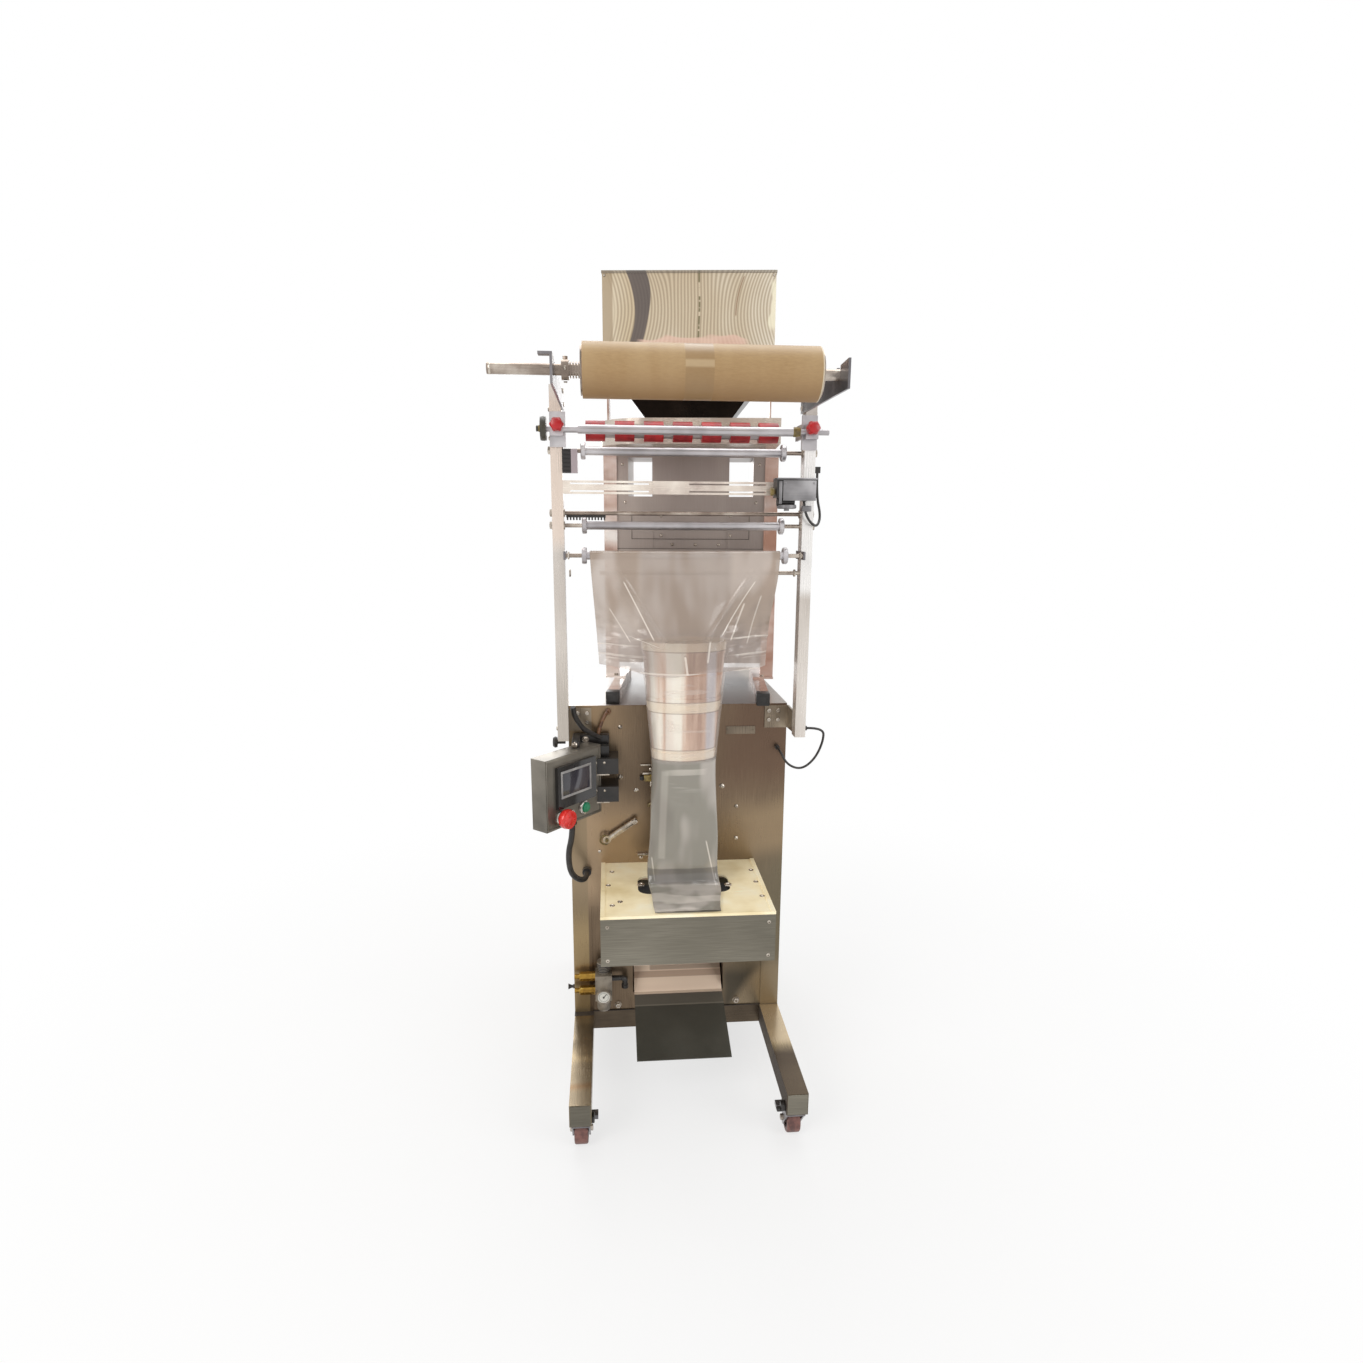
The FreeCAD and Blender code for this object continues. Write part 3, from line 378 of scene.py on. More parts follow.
def piece(name, finish, bm=None, body="machine", smooth=35, replaces=()):
    """Makes one object of a given mesh, or of all the shapes that lie on the bench."""
    bm = bm or bmesh.new()
    for part in bench:
        mesh = bpy.data.meshes.new("part")
        part.to_mesh(mesh)
        part.free()
        bm.from_mesh(mesh)
        bpy.data.meshes.remove(mesh)
    bench.clear()
    bmesh.ops.remove_doubles(bm, verts=bm.verts, dist=1e-6)
    bmesh.ops.recalc_face_normals(bm, faces=bm.faces)
    mesh = bpy.data.meshes.new(name)
    bm.to_mesh(mesh)
    bm.free()
    made = bpy.data.objects.new(name, mesh)
    bpy.context.collection.objects.link(made)
    mesh.materials.append(finish.material)
    mesh.polygons.foreach_set("use_smooth", [True] * len(mesh.polygons))
    mesh.set_sharp_from_angle(angle=math.radians(smooth))
    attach(made, body)
    if replaces:
        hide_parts(*replaces)
    print(name, len(mesh.polygons), "faces")
    return made


def bolts(name, body="machine"):
    piece(name, bright, body=body)


def cap(radius, edge, top_radius, top):
    """The profile of a flat cap: straight up to its edge, then slanted in to its top."""
    return [(radius, 0), (radius, edge), (top_radius, top), (0, top)]


def dome_screw(point, outward, d):
    r, rise = d / 2, d / 2 * 0.55
    turned([(r, -0.6), (r, 0.5), (r * 0.96, 0.5 + rise * 0.35), (r * 0.75, rise * 0.85),
            (r * 0.45, rise * 1.05), (r * 0.42, rise * 0.6), (0, rise * 0.6)], placed(point, outward), 16)


def hex_nut(point, outward, across, thick, bore=0.5):
    where = placed(point, outward)
    r = across / math.sqrt(3)
    turned([(r * 1.12, -0.4), (r * 1.12, 1.2), (r * 0.6, 1.2)], where, 18)
    turned([(r, 1.2), (r, thick - 1), (r * 0.86, thick), (r * bore, thick), (r * bore, thick * 0.5),
            (0, thick * 0.5)], where, 6)


bright = steel("bright_fastener_steel", (120, 108, 95), (190, 180, 168), (240, 232, 220), "z", 0.2, 60.0)
blackened = rubber("blackened_steel", (30, 27, 25), 0.36)
print("helpers and two small finishes ready")

# %% [markdown]
# ## Cabinet
# The cabinet is one folded steel box. Its front mirrors dim surroundings in broad soft patches, painted into
# its colour as painted reflections: brown and darker towards the top, a painted pool of warm cream light low
# on the left where the jaw deck throws light on it, and a grey-green cast low on the right. The patches are
# masks over height and width, blended by wide steps.

# %% Cabinet finish
cabinet_metal = steel("cabinet_steel", (96, 80, 64), (122, 104, 84), (152, 132, 108), "z", 0.30, 4.0,
                      reflection_stretch=(1, 1, 0.5))
CABINET_TOP = 0.855
left_edge = x_at(-240)
finish = cabinet_metal
wave = finish.clouds(5.0, (1, 1, 0.7), detail=2.0) * 0.14
height = finish.z + wave - 0.07
across = finish.x - left_edge + wave - 0.07
# glow is a painted pool of light from the jaw deck; top_left, right_low, right_high, mid_right, low_right and
# the left edge strips are painted reflections.
glow = (1 - across.step(0.05, 0.34)) * height.band(0.53, 0.06, 0.10)
top_left = (1 - across.step(0.02, 0.16)) * height.step(0.72, 0.84)
right_low = across.step(0.30, 0.46) * (1 - height.step(0.42, 0.56))
right_high = across.step(0.30, 0.40) * height.step(0.62, 0.74)
mid_right = across.step(0.33, 0.42) * height.band(0.56, 0.03, 0.07)
strip = 1 - (finish.x - left_edge).step(0.034, 0.037)
low_strip = strip * (1 - height.step(0.32, 0.44))
low_right = across.step(0.33, 0.36) * (1 - height.step(0.19, 0.25))
# near_mouth lays a painted shade on the low right part by the jaw mouth, and back lightens the back faces as
# painted light.
near_mouth = 1 - (across - (height - 0.16) * 0.6).step(0.375, 0.41)
back = finish.y.step(0.02, 0.06)
top = finish.z.step(CABINET_TOP - 0.0002, CABINET_TOP + 0.0002)
plate = finish.mix((finish.x - left_edge).step(0.07, 0.10), (236, 230, 222), (112, 100, 96))
plate = finish.mix((finish.x - left_edge).step(0.42, 0.45), plate, (150, 138, 126))
colour = finish.coats(
    finish.colour, (glow * 0.75, (186, 160, 130)), (top_left * 0.6, (178, 148, 112)),
    (right_low * 0.6, (116, 110, 90)), (right_high * 0.65, (104, 80, 66)),
    (mid_right * 0.6, (164, 142, 112)), (strip * 0.45, (132, 120, 96)), (low_strip * 0.7, (176, 152, 112)),
    (low_right * 0.6, (156, 138, 112)), (low_right * near_mouth * 0.85, (64, 60, 52)),
    (back * 0.5, (140, 132, 120)), (top * 0.9, plate))
finish.feed(Base_Color=colour, Metallic=top * -0.75 + 0.75)
bracket_metal = steel("post_bracket_steel", (108, 96, 82), (146, 132, 114), (188, 174, 152), "z", 0.3, 9.0,
                      streak=0.15, metal=0.6)
rail_metal = steel("rail_steel", (92, 82, 68), (140, 126, 104), (196, 176, 140), "y", 0.24, 7.0, streak=0.2,
                   spread=(0.34, 0.5, 0.66), reflection_stretch=(0.4, 1, 1))
# Painted reflections on the rails: gold patches on the left rail's top, dark brown tones on the right rail's
# front stretch and a cream stretch on its top.
rail_reflection_clouds = rail_metal.clouds(6.0, (0.2, 1.4, 0.2), detail=2.0, offset=(0, 0.35, 0))
gold_top_reflection = rail_metal.z.step(0.1195, 0.1203) * rail_reflection_clouds.step(0.52, 0.62)
front_stretch = rail_metal.y.step(y_at(-195), y_at(-150)) * -1 + 1
cream_stretch = rail_metal.y.band(y_at(-75), 0.060, 0.03)
right_side = rail_metal.x.step(0.15, 0.2)
tones = rail_metal.coats(
    rail_metal.colour, (gold_top_reflection * (1 - right_side) * 0.8, (132, 90, 40)),
    (right_side * front_stretch * 0.9, rail_metal.mix(rail_reflection_clouds, (62, 50, 42), (98, 84, 70))),
    (right_side * cream_stretch * rail_metal.z.step(0.1195, 0.1203) * 0.75, (224, 204, 172)))
# The right rail's inner part is painted dark, matte and rough as painted shade.
shaded_inner_side = right_side * (1 - rail_metal.x.step(x_at(196.2), x_at(196.9)))
rail_metal.feed(Base_Color=rail_metal.mix(shaded_inner_side * 0.9, tones, (58, 48, 40)),
                Metallic=shaded_inner_side * -0.75 + 0.75, Roughness=shaded_inner_side * 0.5 + rail_metal.rough)
beam_metal = steel("cross_beam_steel", (66, 56, 46), (92, 80, 66), (126, 112, 92), "x", 0.3, 7.0)
cover_metal = steel("jaw_cover_steel", (96, 92, 82), (122, 117, 105), (150, 145, 132), "x", 0.38, 5.0,
                    reflection_stretch=(0.5, 1, 1))
deck_metal = steel("jaw_deck_steel", (228, 208, 160), (252, 238, 200), (255, 252, 232), "x", 0.24, 9.0,
                   metal=0.0, streak=0.12)
# The deck glows a little in its own colour: painted light, as the deck is no lamp.
deck_metal.shader.inputs["Emission Strength"].default_value = 0.12
deck_metal.feed(Emission_Color=deck_metal.colour)
post_metal = steel("post_steel", (178, 168, 160), (210, 202, 194), (236, 230, 224), "z", 0.26, 6.0,
                   reflection_stretch=(1, 1, 0.35), streak=0.12, metal=0.55)
finish = post_metal
# Painted reflections on the posts: a white patch on the right post, and a warm patch and a darker low part on
# the left post.
white_part = finish.x.step(0.2, 0.22) * finish.z.band(1.27, 0.15, 0.03)
warm_part = (1 - finish.x.step(-0.2, -0.18)) * finish.z.band(1.34, 0.12, 0.04)
colour = finish.coats(
    finish.colour, (white_part * 0.85, (250, 248, 246)), (warm_part * 0.5, (238, 214, 196)))
low_part = (1 - finish.z.step(0.86, 1.02)) * (1 - finish.x.step(-0.1, 0))
finish.feed(Base_Color=finish.mix(low_part * 0.5, colour, (168, 160, 148)))
stand_metal = steel("filler_stand_steel", (168, 132, 116), (222, 202, 192), (246, 238, 232), "z", 0.22, 13.0,
                    reflection_stretch=(0.4, 0.4, 1), streak=0.06, metal=0.5, spread=(0.34, 0.5, 0.62))
finish = stand_metal
# A painted reflection tints the right leg a darker reddish brown.
right_leg = finish.x.step(0.1, 0.14)
finish.feed(Base_Color=finish.mix(right_leg * 0.42, finish.colour, (184, 134, 110)))
rail_cream = steel("coder_rail_steel", (198, 182, 172), (232, 220, 208), (255, 248, 236), "x", 0.26, 16.0,
                   streak=0.06, metal=0.4)
housing_metal = steel("housing_steel", (142, 130, 124), (164, 152, 145), (184, 172, 164), "z", 0.34, 5.0,
                      reflection_stretch=(1, 1, 0.4), streak=0.15)
print("cabinet finish nodes", len(cabinet_metal.tree.nodes))

# %% [markdown]
# ## Mirror-polished hopper and forming tube
# The hopper is polished so brightly that it mirrors rows of pale bent stripes, with one dark pillar and a
# pink patch at its foot, all painted into its colour as painted reflections. A sine of the width gives the
# stripes, and the same width, bent by height, gives the pillar. The forming tube below shows tall soft
# streaks in peach and silver, painted reflections and painted highlights as well.

# %% Mirror finishes
hopper_metal = Finish("hopper_mirror_steel", Metallic=0.35, Roughness=0.16)
finish = hopper_metal
hopper_low, hopper_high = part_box("hopper")
centre_x = (hopper_low.x + hopper_high.x) / 2
rise = (finish.z - hopper_low.z) * (1 / (hopper_high.z - hopper_low.z))
width = finish.x - centre_x + finish.y * 0.11
top_half = rise.step(0.5, 1.0)
bow = (rise - 0.55) * (rise - 0.55) * 0.11
ripple = finish.clouds(7.0, detail=1.0) * 0.012
left_bow = bow * (1 - width.step(-0.075, -0.03))
right_bow = bow * width.step(0.02, 0.10)
bent = width + left_bow * 0.8 - right_bow + ripple - 0.006
STRIPE_TURNS = 930.0  # radians to a metre of width
reflected_stripes = finish.maths("SINE", bent * STRIPE_TURNS) * 0.5 + 0.5
tone = finish.clouds(6.0, (1, 1, 0.5), detail=2.0)
cream = finish.coats(
    (214, 198, 172), (tone.step(0.34, 0.66), (255, 250, 236)), (top_half * 0.3, (200, 180, 152)),
    ((1 - width.step(-0.115, -0.100)) * 0.5, (204, 182, 144)))
pillar_width = rise.step(0.35, 1.0) * 0.007 + 0.0115
off_pillar = finish.maths("ABSOLUTE", bent + 0.106 - top_half * 0.004)
pillar = 1 - (off_pillar - pillar_width).step(0.0, 0.003)
broken = finish.clouds(60.0, (0.1, 0.1, 1)).step(0.42, 0.5)
smear = finish.clouds(11.0, (1, 0.3, 2.2), detail=1.0)
foot = (1 - (rise + smear * 0.5 - 0.25).step(0.26, 0.29)) * width.band(0.0, 0.10, 0.02)
left_fold = 1 - width.step(-0.1665, -0.1635)
glare = (width - smear * 0.05).step(0.128, 0.133) * rise.band(0.62, 0.22, 0.08)
# Every tone here is a painted reflection: the stripes, the dark pillar, the thin lines, the pink foot, the
# darker left fold, top half and rim; glare is a painted highlight.
colour = finish.coats(
    cream, (reflected_stripes * bent.band(0.0, 0.150, 0.02) * 0.62, (144, 126, 100)),
    (pillar * 0.92, finish.mix(tone, (74, 66, 66), (122, 112, 108))),
    (bent.band(0.0115, 0.0012, 0.0012) * broken * 0.8, (96, 90, 54)),
    (bent.band(0.086, 0.0006, 0.0012) * rise.band(0.72, 0.2, 0.03) * 0.7, (130, 92, 60)),
    (foot * 0.8, finish.mix(smear, (206, 158, 138), (250, 222, 204))), (left_fold * 0.7, (160, 140, 112)),
    (glare * 0.6, (255, 250, 222)), (rise.step(0.968, 0.972) * 0.6, (110, 104, 98)))
finish.feed(Base_Color=colour, Roughness=tone * 0.1 + 0.12)

former_metal = steel("former_mirror_steel", (176, 140, 120), (226, 196, 176), (255, 250, 238), "z", 0.18,
                     24.0, streak=0.05, metal=0.3, spread=(0.38, 0.5, 0.60), reflection_stretch=(1, 1, 0.04))
finish = former_metal
middle = finish.x - x_at(0)
# Painted reflections on the forming tube: a painted highlight left of the middle, a bluish painted reflection
# right of it and a darker left side; below 772.5 mm the tube is darker.
colour = finish.coats(
    finish.colour, (middle.band(-0.030, 0.006, 0.006) * 0.75, (255, 250, 240)),
    (middle.band(0.052, 0.006, 0.008) * 0.6, (206, 214, 226)),
    ((1 - middle.step(-0.075, -0.05)) * 0.6, (150, 138, 134)),
    ((1 - finish.z.step(0.7725, 0.7735)) * 0.9, (150, 147, 138)))
# Three bright bands, each a painted highlight, with thin dark lines at their edges.
for height in (1.0070, 0.8830, 0.7840):
    colour = finish.coats(
        colour, (finish.z.band(height, 0.0095, 0.001) * 0.6, (246, 232, 208)),
        (finish.z.band(height + 0.0110, 0.0008, 0.0008) * 0.5, (120, 100, 84)),
        (finish.z.band(height - 0.0110, 0.0008, 0.0008) * 0.5, (120, 100, 84)))
finish.feed(Base_Color=colour)
funnel_metal = steel("funnel_dark_steel", (26, 20, 18), (40, 33, 29), (66, 56, 50), "z", 0.3, 12.0)
tray_metal = steel("tray_steel", (172, 160, 150), (208, 196, 184), (248, 240, 226), "x", 0.26, 7.0,
                   streak=0.04, metal=0.4)
print("mirror finishes ready")

# %% [markdown]
# ## Plastics, paper and screen
# The small coloured parts carry most of the likeness: red silicone sleeves and knobs, a kraft paper core,
# brass air fittings, the glossy red stop button and the green start button, and a dark touch screen.

# %% Plastic, paper, brass and screen finishes
def plastic(name, colour, deep, rough, coat=0.2, scale=40.0):
    finish = Finish(name, Coat_Weight=coat, Coat_Roughness=0.12)
    mottle = finish.clouds(scale, detail=3.0)
    fine = finish.clouds(1800.0, detail=1.0)
    shade = finish.mix(mottle.step(0.3, 0.7), deep, colour)
    finish.feed(Base_Color=shade, Roughness=mottle * 0.14 + (rough - 0.07),
                Normal=finish.bump(fine, 0.00003, 0.4))
    finish.colour = shade
    return finish


red_silicone = plastic("red_silicone", (196, 40, 44), (140, 20, 30), 0.42, 0.1, 30.0)
knob_red = plastic("knob_red_plastic", (196, 30, 36), (160, 18, 26), 0.34)
stop_red = plastic("stop_button_red", (232, 40, 32), (206, 24, 20), 0.26, 0.5)
start_green = plastic("start_button_green", (20, 140, 96), (8, 104, 72), 0.3, 0.4)
black_plastic = plastic("black_plastic", (44, 40, 38), (26, 24, 23), 0.42, 0.1)
block_plastic = plastic("ribbed_block_plastic", (40, 34, 34), (26, 23, 23), 0.42, 0.1)
grey_half = block_plastic.x.step(x_at(-217.2), x_at(-216.8))
block_plastic.feed(Base_Color=block_plastic.mix(grey_half, block_plastic.colour, (168, 156, 160)))
olive_plastic = plastic("hand_wheel_plastic", (66, 62, 50), (42, 40, 33), 0.4, 0.1)
wheel_tread = plastic("castor_tread", (134, 92, 84), (92, 62, 58), 0.5, 0.05, 90.0)
brass = steel("brass_fitting", (112, 80, 30), (168, 130, 54), (238, 212, 132), "x", 0.24, 50.0, metal=0.8)
copper = plastic("aged_copper", (150, 108, 76), (96, 64, 44), 0.34, 0.2, 60.0)
clip_brass = plastic("aged_brass_clip", (150, 128, 66), (92, 76, 38), 0.34, 0.2, 90.0)
coder_grey = steel("coder_grey_paint", (104, 102, 104), (136, 134, 136), (176, 174, 176), "x", 0.4, 14.0,
                   metal=0.3, streak=0.1)
regulator_grey = plastic("regulator_casting", (150, 140, 126), (104, 95, 84), 0.36, 0.2, 50.0)

kraft = Finish("kraft_paper_core", Coat_Weight=0.12, Coat_Roughness=0.4)
finish = kraft
roll_low, roll_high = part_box("film_roll")
fibres = finish.clouds(420.0, (0.25, 1, 1), detail=4.0)
bands = finish.clouds(26.0, (1.0, 0.15, 0.15), detail=2.0)
axis_y, axis_z = (roll_low.y + roll_high.y) / 2, (roll_low.z + roll_high.z) / 2
radius = finish.length(0, finish.y - axis_y, finish.z - axis_z)
RING_TURNS = 5200.0  # radians to a metre of radius
rings = finish.maths("SINE", radius * RING_TURNS) * 0.5 + 0.5
end_face = 1 - finish.x.band((roll_low.x + roll_high.x) / 2, (roll_high.x - roll_low.x) / 2 - 0.0006, 0.0004)
drop = 1 - (finish.z - roll_low.z) * (1 / (roll_high.z - roll_low.z))
tape = finish.x.band(x_at(0) - 0.002, 0.0225, 0.0006)
shine = tape * drop.band(0.42, 0.04, 0.05) * 0.28
pale_edge = finish.x.step(roll_high.x - 0.0022, roll_high.x - 0.0014)
# drop darkens the roll towards its bottom as painted shade, and shine is a painted highlight on the tape.
paper = finish.coats(
    (154, 124, 84), (fibres, (184, 154, 110)), (bands.step(0.4, 0.7) * 0.3, (194, 168, 128)),
    (end_face * rings * 0.45, (128, 96, 58)), (drop * drop * 0.75, (136, 98, 56)),
    (tape * 0.5, (140, 112, 76)), (shine, (236, 214, 178)), (pale_edge * 0.6, (236, 228, 206)))
finish.feed(Base_Color=paper, Roughness=fibres * 0.2 - tape * 0.2 + 0.42,
            Normal=finish.bump(fibres, 0.00008, 0.4))

screen_glass = Finish("touch_screen_bezel", Roughness=0.2, Coat_Weight=0.6, Coat_Roughness=0.08)
screen_haze = screen_glass.clouds(22.0, detail=3.0)
screen_glass.feed(Base_Color=screen_glass.mix(screen_haze, (16, 15, 16), (40, 38, 40)),
                  Roughness=screen_haze * 0.2 + 0.14)
print("materials so far", len(bpy.data.materials))

# %% [markdown]
# ## Finishes on the nodes
# Each solid of the frame now gets its finish in its own material slots. Names that share a beginning,
# such as the four castor forks, are dressed together.

# %% Dress the frame
dress = {
    "cabinet": cabinet_metal, "left_rail": rail_metal, "right_rail": rail_metal, "cross_beams": beam_metal,
    "castor_fork": frame_steel, "castor_wheel": wheel_tread, "chute": chute_metal, "jaw_deck": deck_metal,
    "jaw_cover": cover_metal, "jaw_guides": rod_steel, "front_jaw": blackened, "back_jaw": blackened,
    "posts": post_metal, "post_brackets": bracket_metal, "roll_arms": frame_steel, "film_roll": kraft,
    "roll_shaft": rod_steel, "upper_guide": roller_metal, "lower_guide": roller_metal,
    "film_guide": roller_metal, "cross_rods": rod_steel, "tension_roller": roller_metal,
    "hand_wheel": olive_plastic, "roller_clamps": roller_metal, "clamp_knobs": knob_red,
    "pull_roller": roller_metal, "pull_sleeves": red_silicone, "roller_ears": frame_steel,
    "coder_rail": rail_cream, "date_coder": black_plastic, "former": former_metal,
    "filler_stand": stand_metal, "weigher_housing": housing_metal, "weigh_bucket": housing_metal,
    "feed_tray": tray_metal, "hopper": hopper_metal, "hopper_funnel": funnel_metal,
    "control_box": box_metal, "touch_panel": screen_glass, "emergency_stop": stop_red,
    "start_button": start_green, "box_hinges": black_plastic, "lever": bright,
    "air_regulator": regulator_grey, "air_fittings": brass, "cable_glands": blackened,
    "ribbed_block": block_plastic, "film_sheet": roller_metal, "film_tube": roller_metal,
    "control_hose": cable_black, "side_cable": cable_black, "coder_cable": cable_black,
}
for name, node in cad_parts.items():
    starts = [key for key in dress if name.startswith(key)]
    chosen = dress[max(starts, key=len)]
    node.data.materials.clear()
    node.data.materials.append(chosen.material)
print("dressed", len(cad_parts), "nodes with", len({f.material.name for f in dress.values()}),
      "finishes")

# %% [markdown]
# ## Film
# The clear film comes over the lowest roller, hangs as a wide apron, is drawn in round the rim of the
# forming tube and runs down its outside. Real film is far thinner than any solid, so both solids are
# replaced by single sheets. The apron starts as a flat grid that is bent row by row: flat at the roller,
# round at the rim, with two sharp creases that slant in towards the tube.

# %% Film finish
def film_finish(name, clear_top, clear_low, low_z, high_z, tone_low, tone_high, highlights, beside):
    finish = Finish(name, Roughness=0.18, IOR=1.45, Coat_Weight=0.5, Coat_Roughness=0.06)
    folds = finish.clouds(12.0, (1, 1, 0.3), detail=2.0)
    cross = finish.clouds(20.0, (0.25, 1, 2.6), detail=2.0)
    along = finish.z.step(low_z, high_z)
    edge = finish.node("LayerWeight", {}, {"Blend": 0.35}, 1)
    ridge = highlights(finish, folds, cross)
    # Lighter folds are painted highlights, darker folds painted shade, and ridge lays painted highlights
    # along the creases and rows.
    colour = finish.coats(
        tone_low, (along, tone_high), (folds.step(0.48, 0.62) * 0.45, (222, 212, 206)),
        ((1 - folds.step(0.32, 0.44)) * 0.35, (112, 102, 96)), (ridge, (255, 246, 236)))
    middle = (finish.x - x_at(0)).band(0.0, 0.078, 0.02)
    alpha = along * (clear_top - clear_low) + clear_low + ridge * 0.5 + edge * 0.30 + (1 - middle) * beside
    finish.colour = colour
    finish.feed(Base_Color=colour, Alpha=finish.maths("MINIMUM", alpha, 0.97),
                Roughness=cross * 0.2 + 0.12, Normal=finish.bump(folds, 0.0008, 0.5))
    return finish


def line(finish, x0, z0, x1, z1, half, soft=0.0012):
    """A mask along a straight line on the front, between two points in drawing millimetres."""
    slope = (x1 - x0) / (z1 - z0)
    off = finish.x - (finish.z - z0 / 1000) * slope - (x0 + DRAWING_SHIFT[0]) / 1000
    middle, reach = (z0 + z1) / 2000, abs(z1 - z0) / 2000
    return off.band(0.0, half / 1000, soft) * finish.z.band(middle, reach, 0.006)


def apron_highlights(finish, folds, cross):
    # Bright rows and crease lines on the apron, all painted highlights.
    wobble = finish.clouds(9.0, detail=1.0) * 0.01
    rows = 0
    for z, half in ((1.020, 0.0012), (1.006, 0.0010), (0.985, 0.0016), (0.978, 0.0008), (0.954, 0.0008)):
        rows = (finish.z + wobble - 0.005).band(z, half, 0.0012) + rows
    middle = finish.x - x_at(0)
    rows = rows * (1 - middle.band(0.0, 0.07, 0.04)) * cross.step(0.38, 0.6) * 0.5
    creases = finish.z.band(0.9530, 0.0010, 0.0012) * middle.band(0.0, 0.085, 0.01) * 0.6
    for x0, z0, x1, z1, half, much in ((-118, 1128, -64, 1022, 0.9, 0.65), (-146, 1075, -110, 1016, 0.8, 0.4),
                                       (134, 1128, 74, 1030, 0.9, 0.55), (116, 1085, 92, 1020, 1.2, 0.5),
                                       (150, 1100, 128, 1010, 0.9, 0.35), (-96, 1020, -60, 1008, 0.8, 0.5),
                                       (-2, 986, 2, 956, 1.6, 0.7), (47, 1014, 43, 978, 1.3, 0.6)):
        creases = line(finish, x0, z0, x1, z1, half) * much + creases
    return finish.maths("MINIMUM", rows + creases, 0.8)


def tube_highlights(finish, folds, cross):
    # Bright lines, a wide streak and bright patches on the loose tail, all painted highlights.
    low_left = line(finish, -66, 555, -61, 512, 0.7) * 0.35
    low_right = line(finish, 48, 590, 66, 505, 0.8) * 0.5
    streak = line(finish, -40, 748, -46, 560, 4.0, 0.006) * 0.12
    tail = (1 - finish.y.step(y_at(-165), y_at(-150))) * cross.step(0.52, 0.6) * 0.35
    return low_left + low_right + streak + tail


apron_film = film_finish("apron_film", 0.70, 0.40, 1.00, 1.05, (176, 162, 153), (170, 153, 139),
                         apron_highlights, 0.20)
tube_film = film_finish("tube_film", 0.14, 0.88, 0.764, 0.776, (152, 148, 138), (226, 216, 208), tube_highlights,
                        0.0)
finish = tube_film
# A darker band is painted on the film where it passes over the jaw slot: painted shade of the slot seen
# through it.
over_slot = finish.z.band(0.519, 0.013, 0.004)
finish.feed(Base_Color=finish.mix(over_slot * 0.6, finish.colour, (84, 81, 80)))

# %% Film apron
FILM_TOP, FILM_HEM = 1181.3, 950.3
FILM_WIDTH, HEM_WIDTH = 368, 340
ROLLER_Y, ROLLER_RADIUS = -142, 9.6
TUBE_Y, RIM_HALF, RIM_DEPTH, ROUND_HALF = -121, 98, 55.5, 82


def ease(value, low, high):
    share = min(max((value - low) / (high - low), 0), 1)
    return share * share * (3 - 2 * share)


def apron_point(u, v):
    """u runs from -1 to 1 across the film, v from 0 at the roller's back to 1 at the hem."""
    wrap = 0.06
    if v < wrap:
        angle = math.pi * (1 - v / wrap)
        y, z = ROLLER_Y - ROLLER_RADIUS * math.cos(angle), FILM_TOP + ROLLER_RADIUS * math.sin(angle)
        return Vector((FILM_WIDTH / 2 * u, y, z))
    down = (v - wrap) / (1 - wrap)
    x = (FILM_WIDTH + (HEM_WIDTH - FILM_WIDTH) * down) / 2 * u
    side = abs(x)
    hem = FILM_HEM + 10 * (side * 2 / HEM_WIDTH) ** 2 + 4 * math.sin(x / 31)
    z = FILM_TOP + (hem - FILM_TOP) * down
    flat = ROLLER_Y - ROLLER_RADIUS
    curve = TUBE_Y - RIM_DEPTH * math.sqrt(1 - (min(side, ROUND_HALF) / RIM_HALF) ** 2)
    curve += max(side - ROUND_HALF, 0) * 0.60
    gather = ease(down, 0.10, 0.74)
    y = flat + (curve - flat) * gather
    off_crease = side - 150 + 104 * min(down / 0.68, 1)
    ridge, valley = 5.0 * math.exp(-(off_crease / 4.5) ** 2), 3.5 * math.exp(-((off_crease - 22) / 9) ** 2)
    y -= ridge * ease(down, 0.08, 0.25) * (1 - ease(down, 0.66, 0.78))
    y += valley * ease(down, 0.2, 0.35) * (1 - ease(down, 0.7, 0.85))
    wide, small = noise.noise(Vector((x / 46, z / 13, 3.1))), noise.noise(Vector((x / 17, z / 9, 8.2)))
    y += (5 * wide + 2.5 * small) * ease(side, 60, 110) * ease(down, 0.45, 0.7)
    y += 1.6 * noise.noise(Vector((x / 38, z / 52, 1.7))) * ease(down, 0.05, 0.2)
    return Vector((x, y, z))


bm = bmesh.new()
bmesh.ops.create_grid(bm, x_segments=120, y_segments=90, size=1)
for v in bm.verts:
    v.co = at(*apron_point(v.co.x, (1 - v.co.y) / 2))
apron = piece("film_apron", apron_film, bm, smooth=60, replaces=["film_sheet"])

# %% [markdown]
# Below the apron the film is a tube. It clings to the forming tube, falls flat and grey below it, swells
# a little where it meets the jaw mouth and then bends forward, so that its loose end lies crumpled on
# the jaw deck. A ring of vertices is extruded section by section, and each section is squeezed to the
# width and depth that the film has there.

